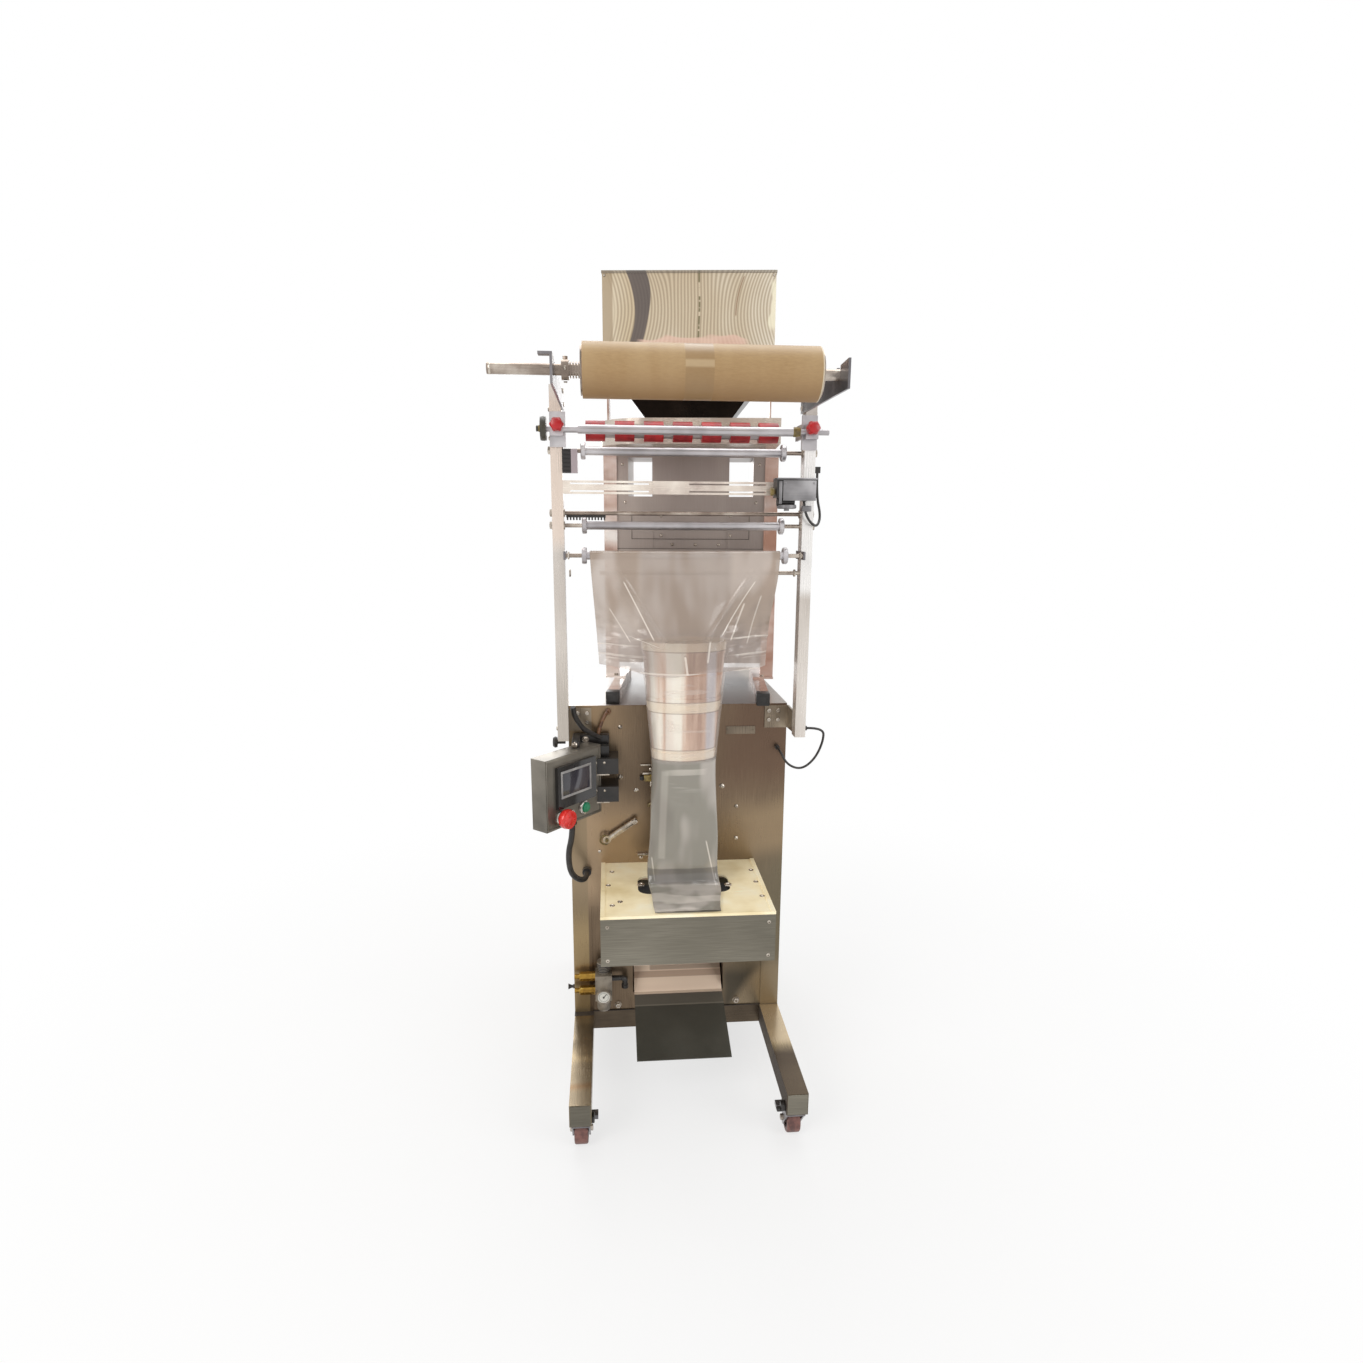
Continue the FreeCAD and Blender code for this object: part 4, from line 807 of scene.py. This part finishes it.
# %% Film tube
TUBE_LINE = [  # middle y, middle z, half width, half depth, tilt towards the front in degrees
    (-121, 949, 83, 52, 0), (-121, 900, 78.5, 49, 0), (-121, 850, 74, 46.5, 0), (-121, 800, 69.5, 43.5, 0),
    (-121, 764, 66.5, 41.5, 0), (-121, 735, 66.5, 38, 0), (-121, 700, 68, 33, 0), (-121, 660, 69.5, 28, 0),
    (-121, 620, 71, 24, 0), (-121, 585, 72.5, 21.5, 2), (-122, 556, 73.5, 21, 6), (-125, 534, 74.5, 19, 16),
    (-131, 515, 75, 13, 34), (-142, 503, 75, 7.5, 58), (-156, 498.2, 74.5, 4.4, 78),
    (-174, 496.4, 73, 3.2, 88), (-196, 495.4, 70.5, 2.8, 90), (-220, 494.8, 68.5, 2.5, 90),
    (-242, 494.4, 66.5, 2.2, 90), (-259, 494.0, 65.5, 1.8, 90)]


def tube_section(share):
    """The tube's section at a share of its way from the apron to the loose end."""
    spot = share * (len(TUBE_LINE) - 1)
    first = min(int(spot), len(TUBE_LINE) - 2)
    part = spot - first
    return [a + (b - a) * part for a, b in zip(TUBE_LINE[first], TUBE_LINE[first + 1])]


def tube_point(angle, share):
    y, z, half, depth, tilt = tube_section(share)
    out_x, out_n = math.cos(angle), math.sin(angle)
    flatness = 1 - depth / half
    bulge = abs(out_n) ** (1 - 0.55 * flatness) * math.copysign(1, out_n)
    fold = noise.noise(Vector((out_x * 2.4, out_n * 1.5, share * 5))) * min(depth * 0.22, 3.0)
    fold *= ease(share, 0.2, 0.4)
    crumple = noise.noise(Vector((out_x * 5, out_n, share * 26))) * 1.3 * ease(share, 0.66, 0.8)
    x = half * out_x + 2.0 * math.sin(share * 17 + 1) * ease(share, 0.3, 0.5)
    n = depth * bulge + (fold + crumple) * (1 if depth > 6 else max(out_n, 0))
    lean = math.radians(tilt)
    return Vector((x + 1, y - n * math.cos(lean), max(z + n * math.sin(lean), 491.3 if share > 0.6 else 0)))


AROUND, ROWS = 72, 110
bm = bmesh.new()
ring = bmesh.ops.create_circle(bm, segments=AROUND, radius=1)["verts"]
angles = [math.atan2(v.co.y, v.co.x) for v in ring]
for v, angle in zip(ring, angles):
    v.co = at(*tube_point(angle, 0))
edges = bm.edges[:]
for row in range(1, ROWS + 1):
    grown = bmesh.ops.extrude_edge_only(bm, edges=edges)["geom"]
    new_verts = [g for g in grown if isinstance(g, bmesh.types.BMVert)]
    angle_of = dict(zip(ring, angles))
    links = [[e.other_vert(v) for e in v.link_edges] for v in new_verts]
    ring, angles = new_verts, [next(angle_of[v] for v in link if v in angle_of) for link in links]
    for v, angle in zip(ring, angles):
        v.co = at(*tube_point(angle, row / ROWS))
    edges = [g for g in grown if isinstance(g, bmesh.types.BMEdge) and angle_of.keys().isdisjoint(g.verts)]
tube = piece("film_tube_sheet", tube_film, bm, smooth=70, replaces=["film_tube"])
tube_length = sum((at(0, *a[:2]) - at(0, *b[:2])).length for a, b in zip(TUBE_LINE, TUBE_LINE[1:]))

# %% [markdown]
# ## Screws, nuts and plates on the cabinet
# The front of the cabinet carries a handful of dome screws and a bare name plate with bevelled edges.
# Bolts hold the post feet, the jaw deck and the jaw cover. Each group is one mesh.

# %% Cabinet screws, name plate and foot bolts
for x, z, d in ((-128, 807, 10), (-129, 693, 12), (-94, 662, 10), (98, 667, 12), (131, 619, 9),
                (132, 543, 9), (-176, 519, 8)):
    dome_screw((x, 0, z), FRONT, d)
for x in (-139, 140):
    hex_nut((x, 3, 134), FRONT, 12, 8)
bolts("cabinet_screws")

block((105, -1.6, 787), (170, 0.4, 805), 0.7)
for x in (109, 166):
    turned([(1.7, -0.4), (1.7, 0.6), (1.1, 1.1), (0, 1.1)], placed((x, -1.6, 796), FRONT), 12)
piece("bare_name_plate", bracket_metal)

for side in (-1, 1):
    for y in (-16, -40, -64):
        for z in (820, 840):
            hex_nut((side * 244, y, z), (side, 0, 0), 10, 6)
    for x in (199, 219):
        for z in (820, 840):
            hex_nut((side * x, -2, z), FRONT, 9, 6)
bolts("post_foot_bolts")

# %% Bolts of the jaw deck and the jaw cover
DECK_TOP = 490.3
for x, y in ((-150, -49), (158, -61), (159, -192), (-134, -198), (-150, -214), (-158, -118), (158, -122)):
    turned([(5.5, -0.3), (5.5, 0.6), (4.6, 1.1), (3.2, 1.1), (2.6, 0.1), (0, 0.1)],
           placed((x, y, DECK_TOP), UP), 18)
for x, y in ((-89, -121), (96, -134)):
    turned([(8, -0.3), (8, 1.6), (6.8, 2.8), (4.4, 2.8), (3.8, 1.4), (0, 1.4)],
           placed((x, y, DECK_TOP), UP), 20)
for x in (-160, 160):
    for z in (398, 470):
        turned([(4.4, -0.4), (4.4, 0.6), (3.4, 2.0), (1.6, 2.4), (1.4, 1.2), (0, 1.2)],
               placed((x, -265.6, z), FRONT), 16)
bolts("jaw_box_bolts")

# %% [markdown]
# ## Bars bent along a curve
# Loops, conduits and elbows are round bars along a smooth curve. Rings of vertices are made from a circle
# operator, turned square to the path, and joined ring by ring.

# %% Bent bars
def smooth_path(points, parts=6):
    """Points of a curve that passes through all the given points, in drawing millimetres."""
    places = [Vector(p) for p in points]
    path = []
    for index in range(len(places) - 1):
        a, b = places[index], places[index + 1]
        before = places[index - 1] if index else 2 * a - b
        after = places[index + 2] if index + 2 < len(places) else 2 * b - a
        for part in range(parts):
            t = part / parts
            path.append(a + 0.5 * t * (b - before) + t * t * (before - 2.5 * a + 2 * b - 0.5 * after)
                        + t * t * t * (1.5 * a - 0.5 * before - 1.5 * b + 0.5 * after))
    return path + [places[-1]]


def bent_bar(points, radius, where=DRAWN, parts=6):
    around = 12
    path = smooth_path(points, parts)
    part = bmesh.new()
    side = Vector((0.31, 0.17, 0.93))
    before = None
    for index, spot in enumerate(path):
        ahead = (path[min(index + 1, len(path) - 1)] - path[max(index - 1, 0)]).normalized()
        side = (side - ahead * side.dot(ahead)).normalized()
        turn = Matrix((side, ahead.cross(side), ahead)).transposed().to_4x4()
        ring = bmesh.ops.create_circle(part, segments=around, radius=radius / 1000)["verts"]
        bmesh.ops.transform(part, matrix=Matrix.Translation(spot / 1000) @ turn, verts=ring)
        if before:
            for step in range(around):
                after = (step + 1) % around
                part.faces.new((before[step], before[after], ring[after], ring[step]))
        if index in (0, len(path) - 1):
            part.faces.new(ring)
        before = ring
    lay_down(part, where)


def circle_points(middle, radius, first, second, start=0, end=360, count=16):
    """Points round a circle that lies in the plane of two directions."""
    m, a, b = Vector(middle), Vector(first), Vector(second)
    turns = [math.radians(start + (end - start) * k / count) for k in range(count + 1)]
    return [m + (a * math.cos(t) + b * math.sin(t)) * radius for t in turns]


print("a quarter loop has", len(smooth_path(circle_points((0, 0, 0), 9, RIGHT, UP, 0, 90, 4))), "points")

# %% [markdown]
# ## Fittings on the left of the cabinet front
# A folded arm carries the control box from a wing screw at the post's foot. A black conduit runs in a
# tight bow into the upper hinge block, and small over-centre clips sit where the film passes.

# %% Arm, hinge block edges, conduit and clips
block((-230, -78, 782), (-214, -4, 796), 2.5)
block((-216, -26, 776), (-152, -6, 796), 2.5)
block((-190, -44, 752.5), (-152, -6, 776), 1.5)
turned([(4, 0), (4, 16), (11, 17), (12, 22), (9, 26), (0, 27)], placed((-244, -52, 789), LEFT), 18)
piece("box_arm", blackened)

for low in (656.3, 718.3):
    block((-190, -61, low - 2.4), (-152, -6, low + 0.6), 0.8)
    for x in (-181, -163):
        turned([(2.6, 0), (2.6, 1.6), (1.2, 2.2), (0, 1.4)], placed((x, -60, low + 26), FRONT), 12)
piece("hinge_block_edges", bright)

dome_screw((-224, -78, 789), FRONT, 13)
hex_nut((-203, -26, 787), FRONT, 11, 7)
bolts("arm_screws")

bent_bar([(-226, -70, 868), (-222, -62, 846), (-207, -48, 818), (-186, -34, 800), (-170, -26, 789)], 5.5)
piece("box_conduit", cable_black)
bent_bar([(-176, -20, 796), (-170, -18, 816), (-163, -17, 832), (-158, -13, 840), (-154, -3, 842)], 4)
turned(cap(7, 5, 5.4, 6), placed((-154, -1, 842), FRONT), 6)
piece("copper_bend", copper)

block((-84, -6, 719), (-47, -1, 722.5), 0.8)
block((-80, -9, 700), (-47, -1, 704), 0.8)
block((-64, -14, 673), (-46, -1, 685), 2.5)
dome_screw((-62, -9, 712), FRONT, 7)
dome_screw((-57, 0, 648), FRONT, 9)
block((-92, -8, 508), (-60, -1, 514), 1.5)
dome_screw((-84, -1, 502), FRONT, 8)
bolts("clip_strips")
block((-77, -14, 685), (-48, -1, 699), 2.5)
bent_bar(circle_points((-59, -8, 624), 9, UP, LEFT, -80, 80, 6), 2.6)
piece("clip_latch", clip_brass)
block((-86, -12, 687), (-75, -1, 696), 2.0)
block((-60, -12, 600), (-52, -1, 610), 2.0)
piece("clip_heads", blackened)

# %% Lever handle and pins
swing = Matrix.Translation(at(-160, 0, 552.3)) @ swung(-34, "Y")
block((8, -17.2, -4.2), (76, -15.4, 4.2), 0.8, where=swing)
turned([(6.5, 0), (6.5, 4), (5, 5.4), (2.6, 5.4), (2.2, 4), (0, 4)],
       swing @ shift(74, -16, 0) @ facing(FRONT), 18)
piece("lever_face", bright, body="lever")
ring = circle_points((-4, -14, 2), 10.5, (0.45, 0, 0.9), (-0.9, 0, 0.45), 0, 360, 20)
bent_bar(ring, 1.9, where=swing, parts=2)
turned(cap(4, 3, 3, 4.2), swing @ shift(0, -16, 0) @ facing(FRONT), 14)
piece("lever_loop", clip_brass, body="lever")

# %% [markdown]
# ## Control box
# The box is turned towards the operator, so its small pieces are modelled flat against its door and
# turned with it: a folded rim, the light frame of the screen, a chrome ring and two button caps.

# %% Control box details
box_turn = Matrix.Translation(at(-278, -176, 632.3)) @ swung(49.5)


def on_box(x, y, z):
    return box_turn @ shift(x, y, z) @ facing(FRONT)


def rim_strips(left, low, right, high, wide, tall, front, back, bevel):
    """Four strips just inside a rectangle on the door."""
    for x0, z0, x1, z1 in ((left, low, right, low + tall), (left, high - tall, right, high),
                           (left, low + tall, left + wide, high - tall),
                           (right - wide, low + tall, right, high - tall)):
        block((x0, front, z0), (x1, back, z1), bevel, where=box_turn)


rim_strips(1, 1, 164, 149, 4, 4, -1.6, 0.4, 0.6)
piece("box_door_rim", box_metal)

frame_grey = plastic("screen_frame_grey", (176, 174, 172), (140, 138, 138), 0.34, 0.3)
rim_strips(35, 64, 125, 121, 4.5, 5, -9.2, -7.8, 0.5)
piece("screen_frame", frame_grey)

lit_glass = Finish("screen_glass", Roughness=0.12, Coat_Weight=0.8, Coat_Roughness=0.05)
# sheen lays painted reflections over the dark glass.
sheen = lit_glass.clouds(9.0, (1, 1, 0.4), detail=2.0)
lit_glass.feed(Base_Color=lit_glass.mix(sheen.step(0.4, 0.66), (26, 26, 36), (62, 60, 70)),
               Roughness=sheen * 0.16 + 0.06)
block((39, -8.5, 68.5), (121, -7.9, 116.5), 0.2, where=box_turn)
piece("screen_pane", lit_glass)

start_place, stop_place = on_box(108, 0, 27), on_box(40, 0, 23)
chrome = steel("button_chrome", (120, 112, 106), (196, 190, 184), (246, 242, 238), "z", 0.16, 90.0)
turned([(15.5, 0), (15.5, 4), (14, 6.4), (11.6, 7.2), (11.6, 4), (11.6, 0)], start_place, 28)
turned([(14.5, 0), (14.5, 3), (13, 5), (9, 5), (9, 0)], stop_place, 28)
turned([(5, 0), (5, 2.6), (3.6, 3.4), (2.4, 2.2), (0, 2.2)], on_box(74, 0, 25), 18)
piece("button_rings", chrome)
turned([(9.6, 8.8), (9.6, 10.6), (8.4, 11.8), (4, 12.4), (0, 12.5)], start_place, 28)
piece("start_cap", start_green, body="start_button")
turned([(19, 13), (20.2, 15), (20.4, 20), (18.6, 24.4), (13, 27), (6, 28), (0, 28.2)], stop_place, 32)
for spoke in range(3):
    lean = stop_place @ swung(120 * spoke)
    block((6, -1.3, 26.6), (13.5, 1.3, 28.6), 0.5, where=lean)
piece("stop_mushroom", stop_red, body="emergency_stop")

# %% [markdown]
# ## Post frame
# Hex nuts close the rods on the posts' outer faces. The tie rod carries a toothed strip on the left. The
# date coder gets its face plate, coupling and disc, the clamps get round knobs with finger dents, and
# the roll's shaft gets its set screws, its flange and the bolts of its arms.

# %% Nuts and toothed strip
POST_Y, POST_INNER, POST_OUTER, ROLLER_END = -97, 234, 256, 226
for side in (-1, 1):
    for y, z in ((POST_Y, 1377.3), (POST_Y, 1237.3), (-88, 1260.8)):
        hex_nut((side * POST_OUTER, y, z), (side, 0, 0), 14, 5.5, bore=0.4)
        turned([(8, 0), (8, 2), (4.2, 2)], placed((side * POST_INNER, y, z), (-side, 0, 0)), 18)
    for y, z in ((ROLLER_Y, FILM_TOP), (POST_Y, 1145.3)):
        turned([(7.5, 0), (7.5, 2.4), (6.4, 3.2), (4.2, 3.2)],
               placed((side * ROLLER_END, y, z), (-side, 0, 0)), 18)
    for z in (830, 1400, 1452):
        turned(cap(4.5, 2, 3, 3.4), placed((side * POST_OUTER, POST_Y, z), (side, 0, 0)), 14)
bolts("rod_nuts")

block((-230, -89.2, 1252.5), (-153, -86.8, 1257), 0.4)
for tooth in range(13):
    x = -229 + tooth * 6
    block((x, -89.2, 1247.5), (x + 3.2, -86.8, 1253), 0.5)
piece("toothed_strip", blackened)

# %% Date coder face, coupling and disc
block((186, -151.8, 1286), (250, -149.6, 1324), 0.8)
block((174, -151, 1325.5), (252, -110, 1328.6), 0.8)
block((178, -151, 1280), (184, -149, 1322), 0.8)
for x in (190, 246):
    turned(cap(2.4, 1, 1.5, 1.6), placed((x, -151.8, 1319), FRONT), 12)
piece("coder_face", coder_grey)
turned([(5, 0), (5, 5), (8, 5), (8, 11), (5, 12), (0, 12)], placed((176, -133, 1303), LEFT), 22)
piece("coder_coupling", clip_brass)
disc = placed((198, -128, 1276), UP)
turned([(0, -5), (16, -5), (19, -3.5), (19, 2), (17, 3), (0, 3)], disc, 40)
turned([(0, -9), (5, -9), (5, -4), (0, -4)], disc, 20)
block((228, -136, 1266), (246, -116, 1277), 1.5)
piece("coder_disc", coder_grey)

# %% Knobs, hand wheel rim and roll shaft details
ROLL_AXIS, TENSION_AXIS = (-355, 1481.3), (-127, 1414.3)  # y and z
for side in (-1, 1):
    knob = placed((side * 241, -149, 1420.3), FRONT)
    turned([(11, 0), (11.6, 1.5), (11.4, 5), (9.5, 7.6), (5, 9), (0, 9.4)], knob, 28)
    for lobe in range(6):
        lean = knob @ swung(60 * lobe)
        turned([(0, -9), (3.2, -9), (3.6, -7), (3.6, 2), (2.2, 4.6), (0, 5)],
               lean @ shift(9.8, 0, 0), 14)
piece("knob_heads", knob_red)
wheel = placed((-261.4, *TENSION_AXIS), LEFT)
turned([(15, 0.4), (21, 0.8), (22.2, 3), (22.2, 8), (20.5, 10.4), (16, 11), (13, 9.5), (8, 9.5)], wheel, 40)
piece("hand_wheel_rim", olive_plastic, body="tension_roller")
turned([(9, 0), (9, 2), (6.5, 3), (6.5, 14), (4.4, 15), (4.2, 18)], wheel, 24)
turned([(8.6, 0), (8.6, 3), (9.4, 6), (9.4, 12), (8.6, 12), (8.6, 14)],
       placed((220, *TENSION_AXIS), LEFT), 24)
piece("hand_wheel_hub", clip_brass, body="tension_roller")
for side in (-1, 1):
    for y, z in ((-104, 1484), (-90, 1462)):
        turned(cap(6, 4, 4.6, 5.6), placed((side * POST_INNER, y, z), (-side, 0, 0)), 6)
bolts("arm_bolts")
for lean in (0, 90, 180, 270):
    turn = Matrix.Translation(at(-213, *ROLL_AXIS)) @ swung(lean, "X")
    turned([(3, 0), (3, 1.2), (2, 2.0), (1.2, 1.0), (0, 1.0)], turn @ shift(0, 0, 17.8), 12)
for x in (-333, -188.6):
    turned([(9, 0), (9.5, 1), (9.5, 2.4), (9, 3.4)], placed((x, *ROLL_AXIS), RIGHT), 28)
bolts("shaft_set_screws", "roll")

# %% [markdown]
# ## Filler
# The housing's front has shallow panel lines and screws. The feet of the stand end in black plastic caps.
# These pieces are modelled in the filler's own frame, which is turned a few degrees on the cabinet.

# %% Filler caps, panel lines and screws
HOUSING_FRONT = 196
filler_place = Matrix.Translation(at(19, -5, 0)) @ swung(-6.4)


def on_filler(x, y, z, outward=FRONT):
    return filler_place @ shift(x, y, z) @ facing(outward)


for x in (-164, 164):
    block((x - 14.5, -2.5, 854.6), (x + 14.5, 26, 883), 2.2, where=filler_place)
    block((x - 10, -3.6, 859), (x + 10, 0, 878), 1.4, where=filler_place)
piece("foot_caps", black_plastic)

seam = Finish("dark_seam", Roughness=0.6)
seam.feed(Base_Color=seam.mix(seam.clouds(60.0), (48, 42, 38), (70, 62, 56)))
for x0, z0, x1, z1 in ((-136, 1263, 136, 1264.2), (-136, 1205, 136, 1206.2), (-136, 1205, -134.8, 1264),
                       (134.8, 1205, 136, 1264), (-169, 1183, 169, 1184)):
    block((x0, HOUSING_FRONT - 1.1, z0), (x1, HOUSING_FRONT + 0.4, z1), 0, where=filler_place)
piece("housing_seams", seam)
for x, z in ((-68, 1258), (92, 1258), (-68, 1214), (92, 1214), (-42, 1193), (12, 1193), (66, 1193),
             (-150, 1288), (150, 1288), (-150, 1120), (150, 1120), (-150, 960), (150, 960)):
    turned([(3.6, -0.3), (3.6, 0.5), (2.8, 1.9), (1.4, 2.2), (1.2, 1.1), (0, 1.1)],
           on_filler(x, HOUSING_FRONT, z), 14)
for x in (-156, 156):
    for z in (1330, 1372):
        turned([(3.4, -0.3), (3.4, 0.5), (2.6, 1.8), (1.2, 2.0), (1.1, 1), (0, 1)],
               on_filler(x, HOUSING_FRONT, z), 14)
    hex_low = on_filler(x * 1.12, 190, 884.5, UP)
    turned(cap(5, 3.6, 4, 4.6), hex_low, 6)
bolts("housing_screws")

# %% Hopper rim and stay bolts
for x in (-187.5, 177.5):
    for z in (1585, 1598):
        side = 1 if x > 0 else -1
        turned(cap(4.4, 2.6, 3.2, 4), on_filler(x + side * 1.2, 205, z, (side, 0, 0)), 14)
for x in (-180, 170):
    turned([(3, 0), (3, 0.6), (2.2, 1.8), (0, 2)], on_filler(x, 90, 1742), 12)
bolts("hopper_bolts")

# %% [markdown]
# ## Air unit, rails and castors
# The regulator shows a white dial with ticks and a needle, a black elbow and a chrome fitting. The rails
# end in plain plates. Each castor wheel has rounded black rims and an axle with nuts, and two black pads
# stand beside the front castors.

# %% Air unit details
GAUGE = (-172, -49, 185.3)
dial_white = Finish("gauge_dial", Roughness=0.3, Coat_Weight=0.6, Coat_Roughness=0.1)
spot_x = dial_white.x - at(*GAUGE).x
spot_z = dial_white.z - at(*GAUGE).z
comb = dial_white.maths("SINE", dial_white.maths("ARCTAN2", spot_z, spot_x) * 24.0)
away = dial_white.length(spot_x, spot_z)
ticks = comb.step(0.3, 0.8) * away.band(0.0105, 0.0012, 0.0004)
dial_white.feed(Base_Color=dial_white.mix(ticks, (226, 224, 216), (60, 58, 56)))
turned([(14, 0), (14, 0.5), (0, 0.5)], placed(GAUGE, FRONT), 36)
piece("gauge_dial", dial_white)
turned([(14, 0), (17, 0), (17.4, 1), (17, 2.6), (15.4, 3), (14, 1.6), (14, 0)], placed(GAUGE, FRONT), 36)
piece("gauge_rim", regulator_grey)
needle = placed((GAUGE[0], GAUGE[1] - 0.6, GAUGE[2]), FRONT) @ swung(50)
block((-3, -0.7, 0.4), (10.5, 0.7, 0.9), 0.2, where=needle)
turned([(2, 0), (2, 1.2), (0, 1.4)], needle, 14)
piece("gauge_needle", seam)

AIR_Y = -17
for z in range(236, 253, 4):
    turned([(15, 0), (15.8, 0.6), (15.8, 2), (15, 2.6)], placed((GAUGE[0], AIR_Y, z), UP), 28)
turned(cap(6, 20, 5, 22), placed((-153, AIR_Y, 214), RIGHT), 20)
bent_bar([(-131, AIR_Y, 214), (-126, AIR_Y, 213), (-123, AIR_Y, 208), (-123, AIR_Y, 196)], 6.5)
turned(cap(8, 8, 6.6, 9), placed((-123, AIR_Y, 190), UP), 18)
turned([(5, 0), (5, 2), (3.4, 4), (3.4, 7), (6.5, 14), (0, 14)], placed((-239, AIR_Y, 197.3), LEFT), 20)
piece("air_elbow", black_plastic)
turned([(8, 0), (8, 7), (6, 8), (6, 22), (7, 23), (7, 26), (0, 26)], placed((-148, -1, 241), UP), 6)
piece("air_chrome", chrome)
for z in (221.3, 186.3):
    for x in (-224, -196):
        turned([(9.2, 0), (9.8, 0.8), (9.8, 3), (9.2, 3.8)], placed((x, AIR_Y, z), LEFT), 22)
turned(cap(4, 3, 2.6, 4), placed((GAUGE[0], AIR_Y, 134.3), DOWN), 14)
piece("air_rings", brass)

# %% Rail ends and seams
for side in (-1, 1):
    block((side * 238.6, -324.4, 73.5), (side * 197.4, -322.6, 118.8), 0.7)
    block((side * 238.6, 459, 73.5), (side * 197.4, 460.6, 118.8), 0.7)
piece("rail_end_plates", cover_metal)
block((-240.3, -16.4, 119.4), (-196, 3, 120.6), 0)
block((196, -0.4, 119.4), (240.3, 3, 120.6), 0)
block((-196, -0.2, 119.6), (-102, 3, 120.8), 0)
block((106, -0.2, 119.6), (196, 3, 120.8), 0)
piece("cabinet_foot_seam", seam)

# %% Castor details
for key in ("front_left", "front_right", "back_left", "back_right"):
    low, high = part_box("castor_wheel_" + key)
    half = (high.x - low.x) * 500
    nut = half + 4.6
    hubs = [Matrix.Translation((low + high) / 2) @ facing(outward) for outward in (LEFT, RIGHT)]
    for hub in hubs:
        turned([(19, half - 2.2), (21, half - 0.4), (22, half + 0.2), (23.5, half - 0.4), (24, half - 2)],
               hub, 36)
    piece("castor_rim_" + key, black_plastic, body="wheel_" + key)
    for hub in hubs:
        turned([(6.4, nut), (6.4, nut + 4), (5, nut + 5.2), (2, nut + 5.2)], hub, 6)
    bolts("castor_axle_" + key, "fork_" + key)
block((186, -318, 78), (196.4, -300, 92), 2)
block((178, -314, 74), (190, -302, 80), 2)
block((-196.4, -318, 74), (-190, -300, 88), 2)
piece("brake_pads", black_plastic)

# %% [markdown]
# ## Floor, light and background
# A plain pale floor keeps the machine's soft shadow, and the background is white by colour, not by more
# light. Four large lamps light the machine from the left, the right, above and behind at a plain level.

# %% Floor, and rays that see it directly
def seen_directly(tree):
    """A socket that is 1 for rays of the camera and for reflected and passed rays."""
    path = tree.nodes.new("ShaderNodeLightPath")
    joined = path.outputs["Is Camera Ray"]
    for key in ("Is Glossy Ray", "Is Transmission Ray"):
        either = tree.nodes.new("ShaderNodeMath")
        either.operation = "MAXIMUM"
        tree.links.new(joined, either.inputs[0])
        tree.links.new(path.outputs[key], either.inputs[1])
        joined = either.outputs[0]
    return joined


def blend_shaders(tree, share, first, second, output):
    blend = tree.nodes.new("ShaderNodeMixShader")
    for plug, socket in enumerate((share, first.outputs[0], second.outputs[0])):
        tree.links.new(socket, blend.inputs[plug])
    tree.links.new(blend.outputs[0], output.inputs[0])


bm = bmesh.new()
bmesh.ops.create_circle(bm, cap_ends=True, segments=96, radius=9.0)
mesh = bpy.data.meshes.new("floor")
bm.to_mesh(mesh)
bm.free()
floor = bpy.data.objects.new("floor", mesh)
bpy.context.collection.objects.link(floor)
floor_paint = Finish("pale_floor", Roughness=0.9)
floor_paint.feed(Base_Color=floor_paint.mix(floor_paint.clouds(3.0), (238, 238, 238), (243, 243, 243)))
away = floor_paint.length(floor_paint.x, floor_paint.y, floor_paint.z)
share = away.step(0.5, 1.9) * 0.30 + 0.70
tree = floor_paint.tree
glow = tree.nodes.new("ShaderNodeEmission")
output = next(n for n in tree.nodes if n.type == "OUTPUT_MATERIAL")
blend_shaders(tree, (Mask(floor_paint, seen_directly(tree)) * share).socket, floor_paint.shader, glow, output)
mesh.materials.append(floor_paint.material)

# %% World
world = bpy.data.worlds.new("studio")
world.use_nodes = True
bpy.context.scene.world = world
tree = world.node_tree
tree.nodes.clear()
shades = []
for colour, strength in (((1, 0.985, 0.96, 1), 0.42), ((1, 1, 1, 1), 1.0)):
    shade = tree.nodes.new("ShaderNodeBackground")
    shade.inputs[0].default_value, shade.inputs[1].default_value = colour, strength
    shades.append(shade)
blend_shaders(tree, seen_directly(tree), *shades, tree.nodes.new("ShaderNodeOutputWorld"))
print("world nodes", len(tree.nodes))

# %% Lamps
def lamp(name, place, aim, size, watts, colour=(1, 1, 1)):
    data = bpy.data.lights.new(name, "AREA")
    data.shape = "RECTANGLE"
    data.size, data.size_y = size
    data.energy, data.color = watts, colour
    made = bpy.data.objects.new(name, data)
    made.location = place
    made.rotation_euler = (Vector(aim) - Vector(place)).to_track_quat("-Z", "Y").to_euler()
    bpy.context.collection.objects.link(made)


lamp("left_lamp", (-2.4, -2.6, 2.6), (0, 0, 0.9), (1.8, 2.2), 62, (1, 0.98, 0.95))
lamp("right_lamp", (2.6, -2.2, 1.8), (0, 0, 0.9), (1.6, 2.0), 34)
lamp("top_lamp", (0.2, 0.6, 3.6), (0, 0, 0.8), (2.2, 2.2), 40)
lamp("back_lamp", (-0.6, 3.0, 2.2), (0, 0, 0.9), (2.2, 1.8), 34)
bpy.context.scene.view_settings.view_transform = "Standard"
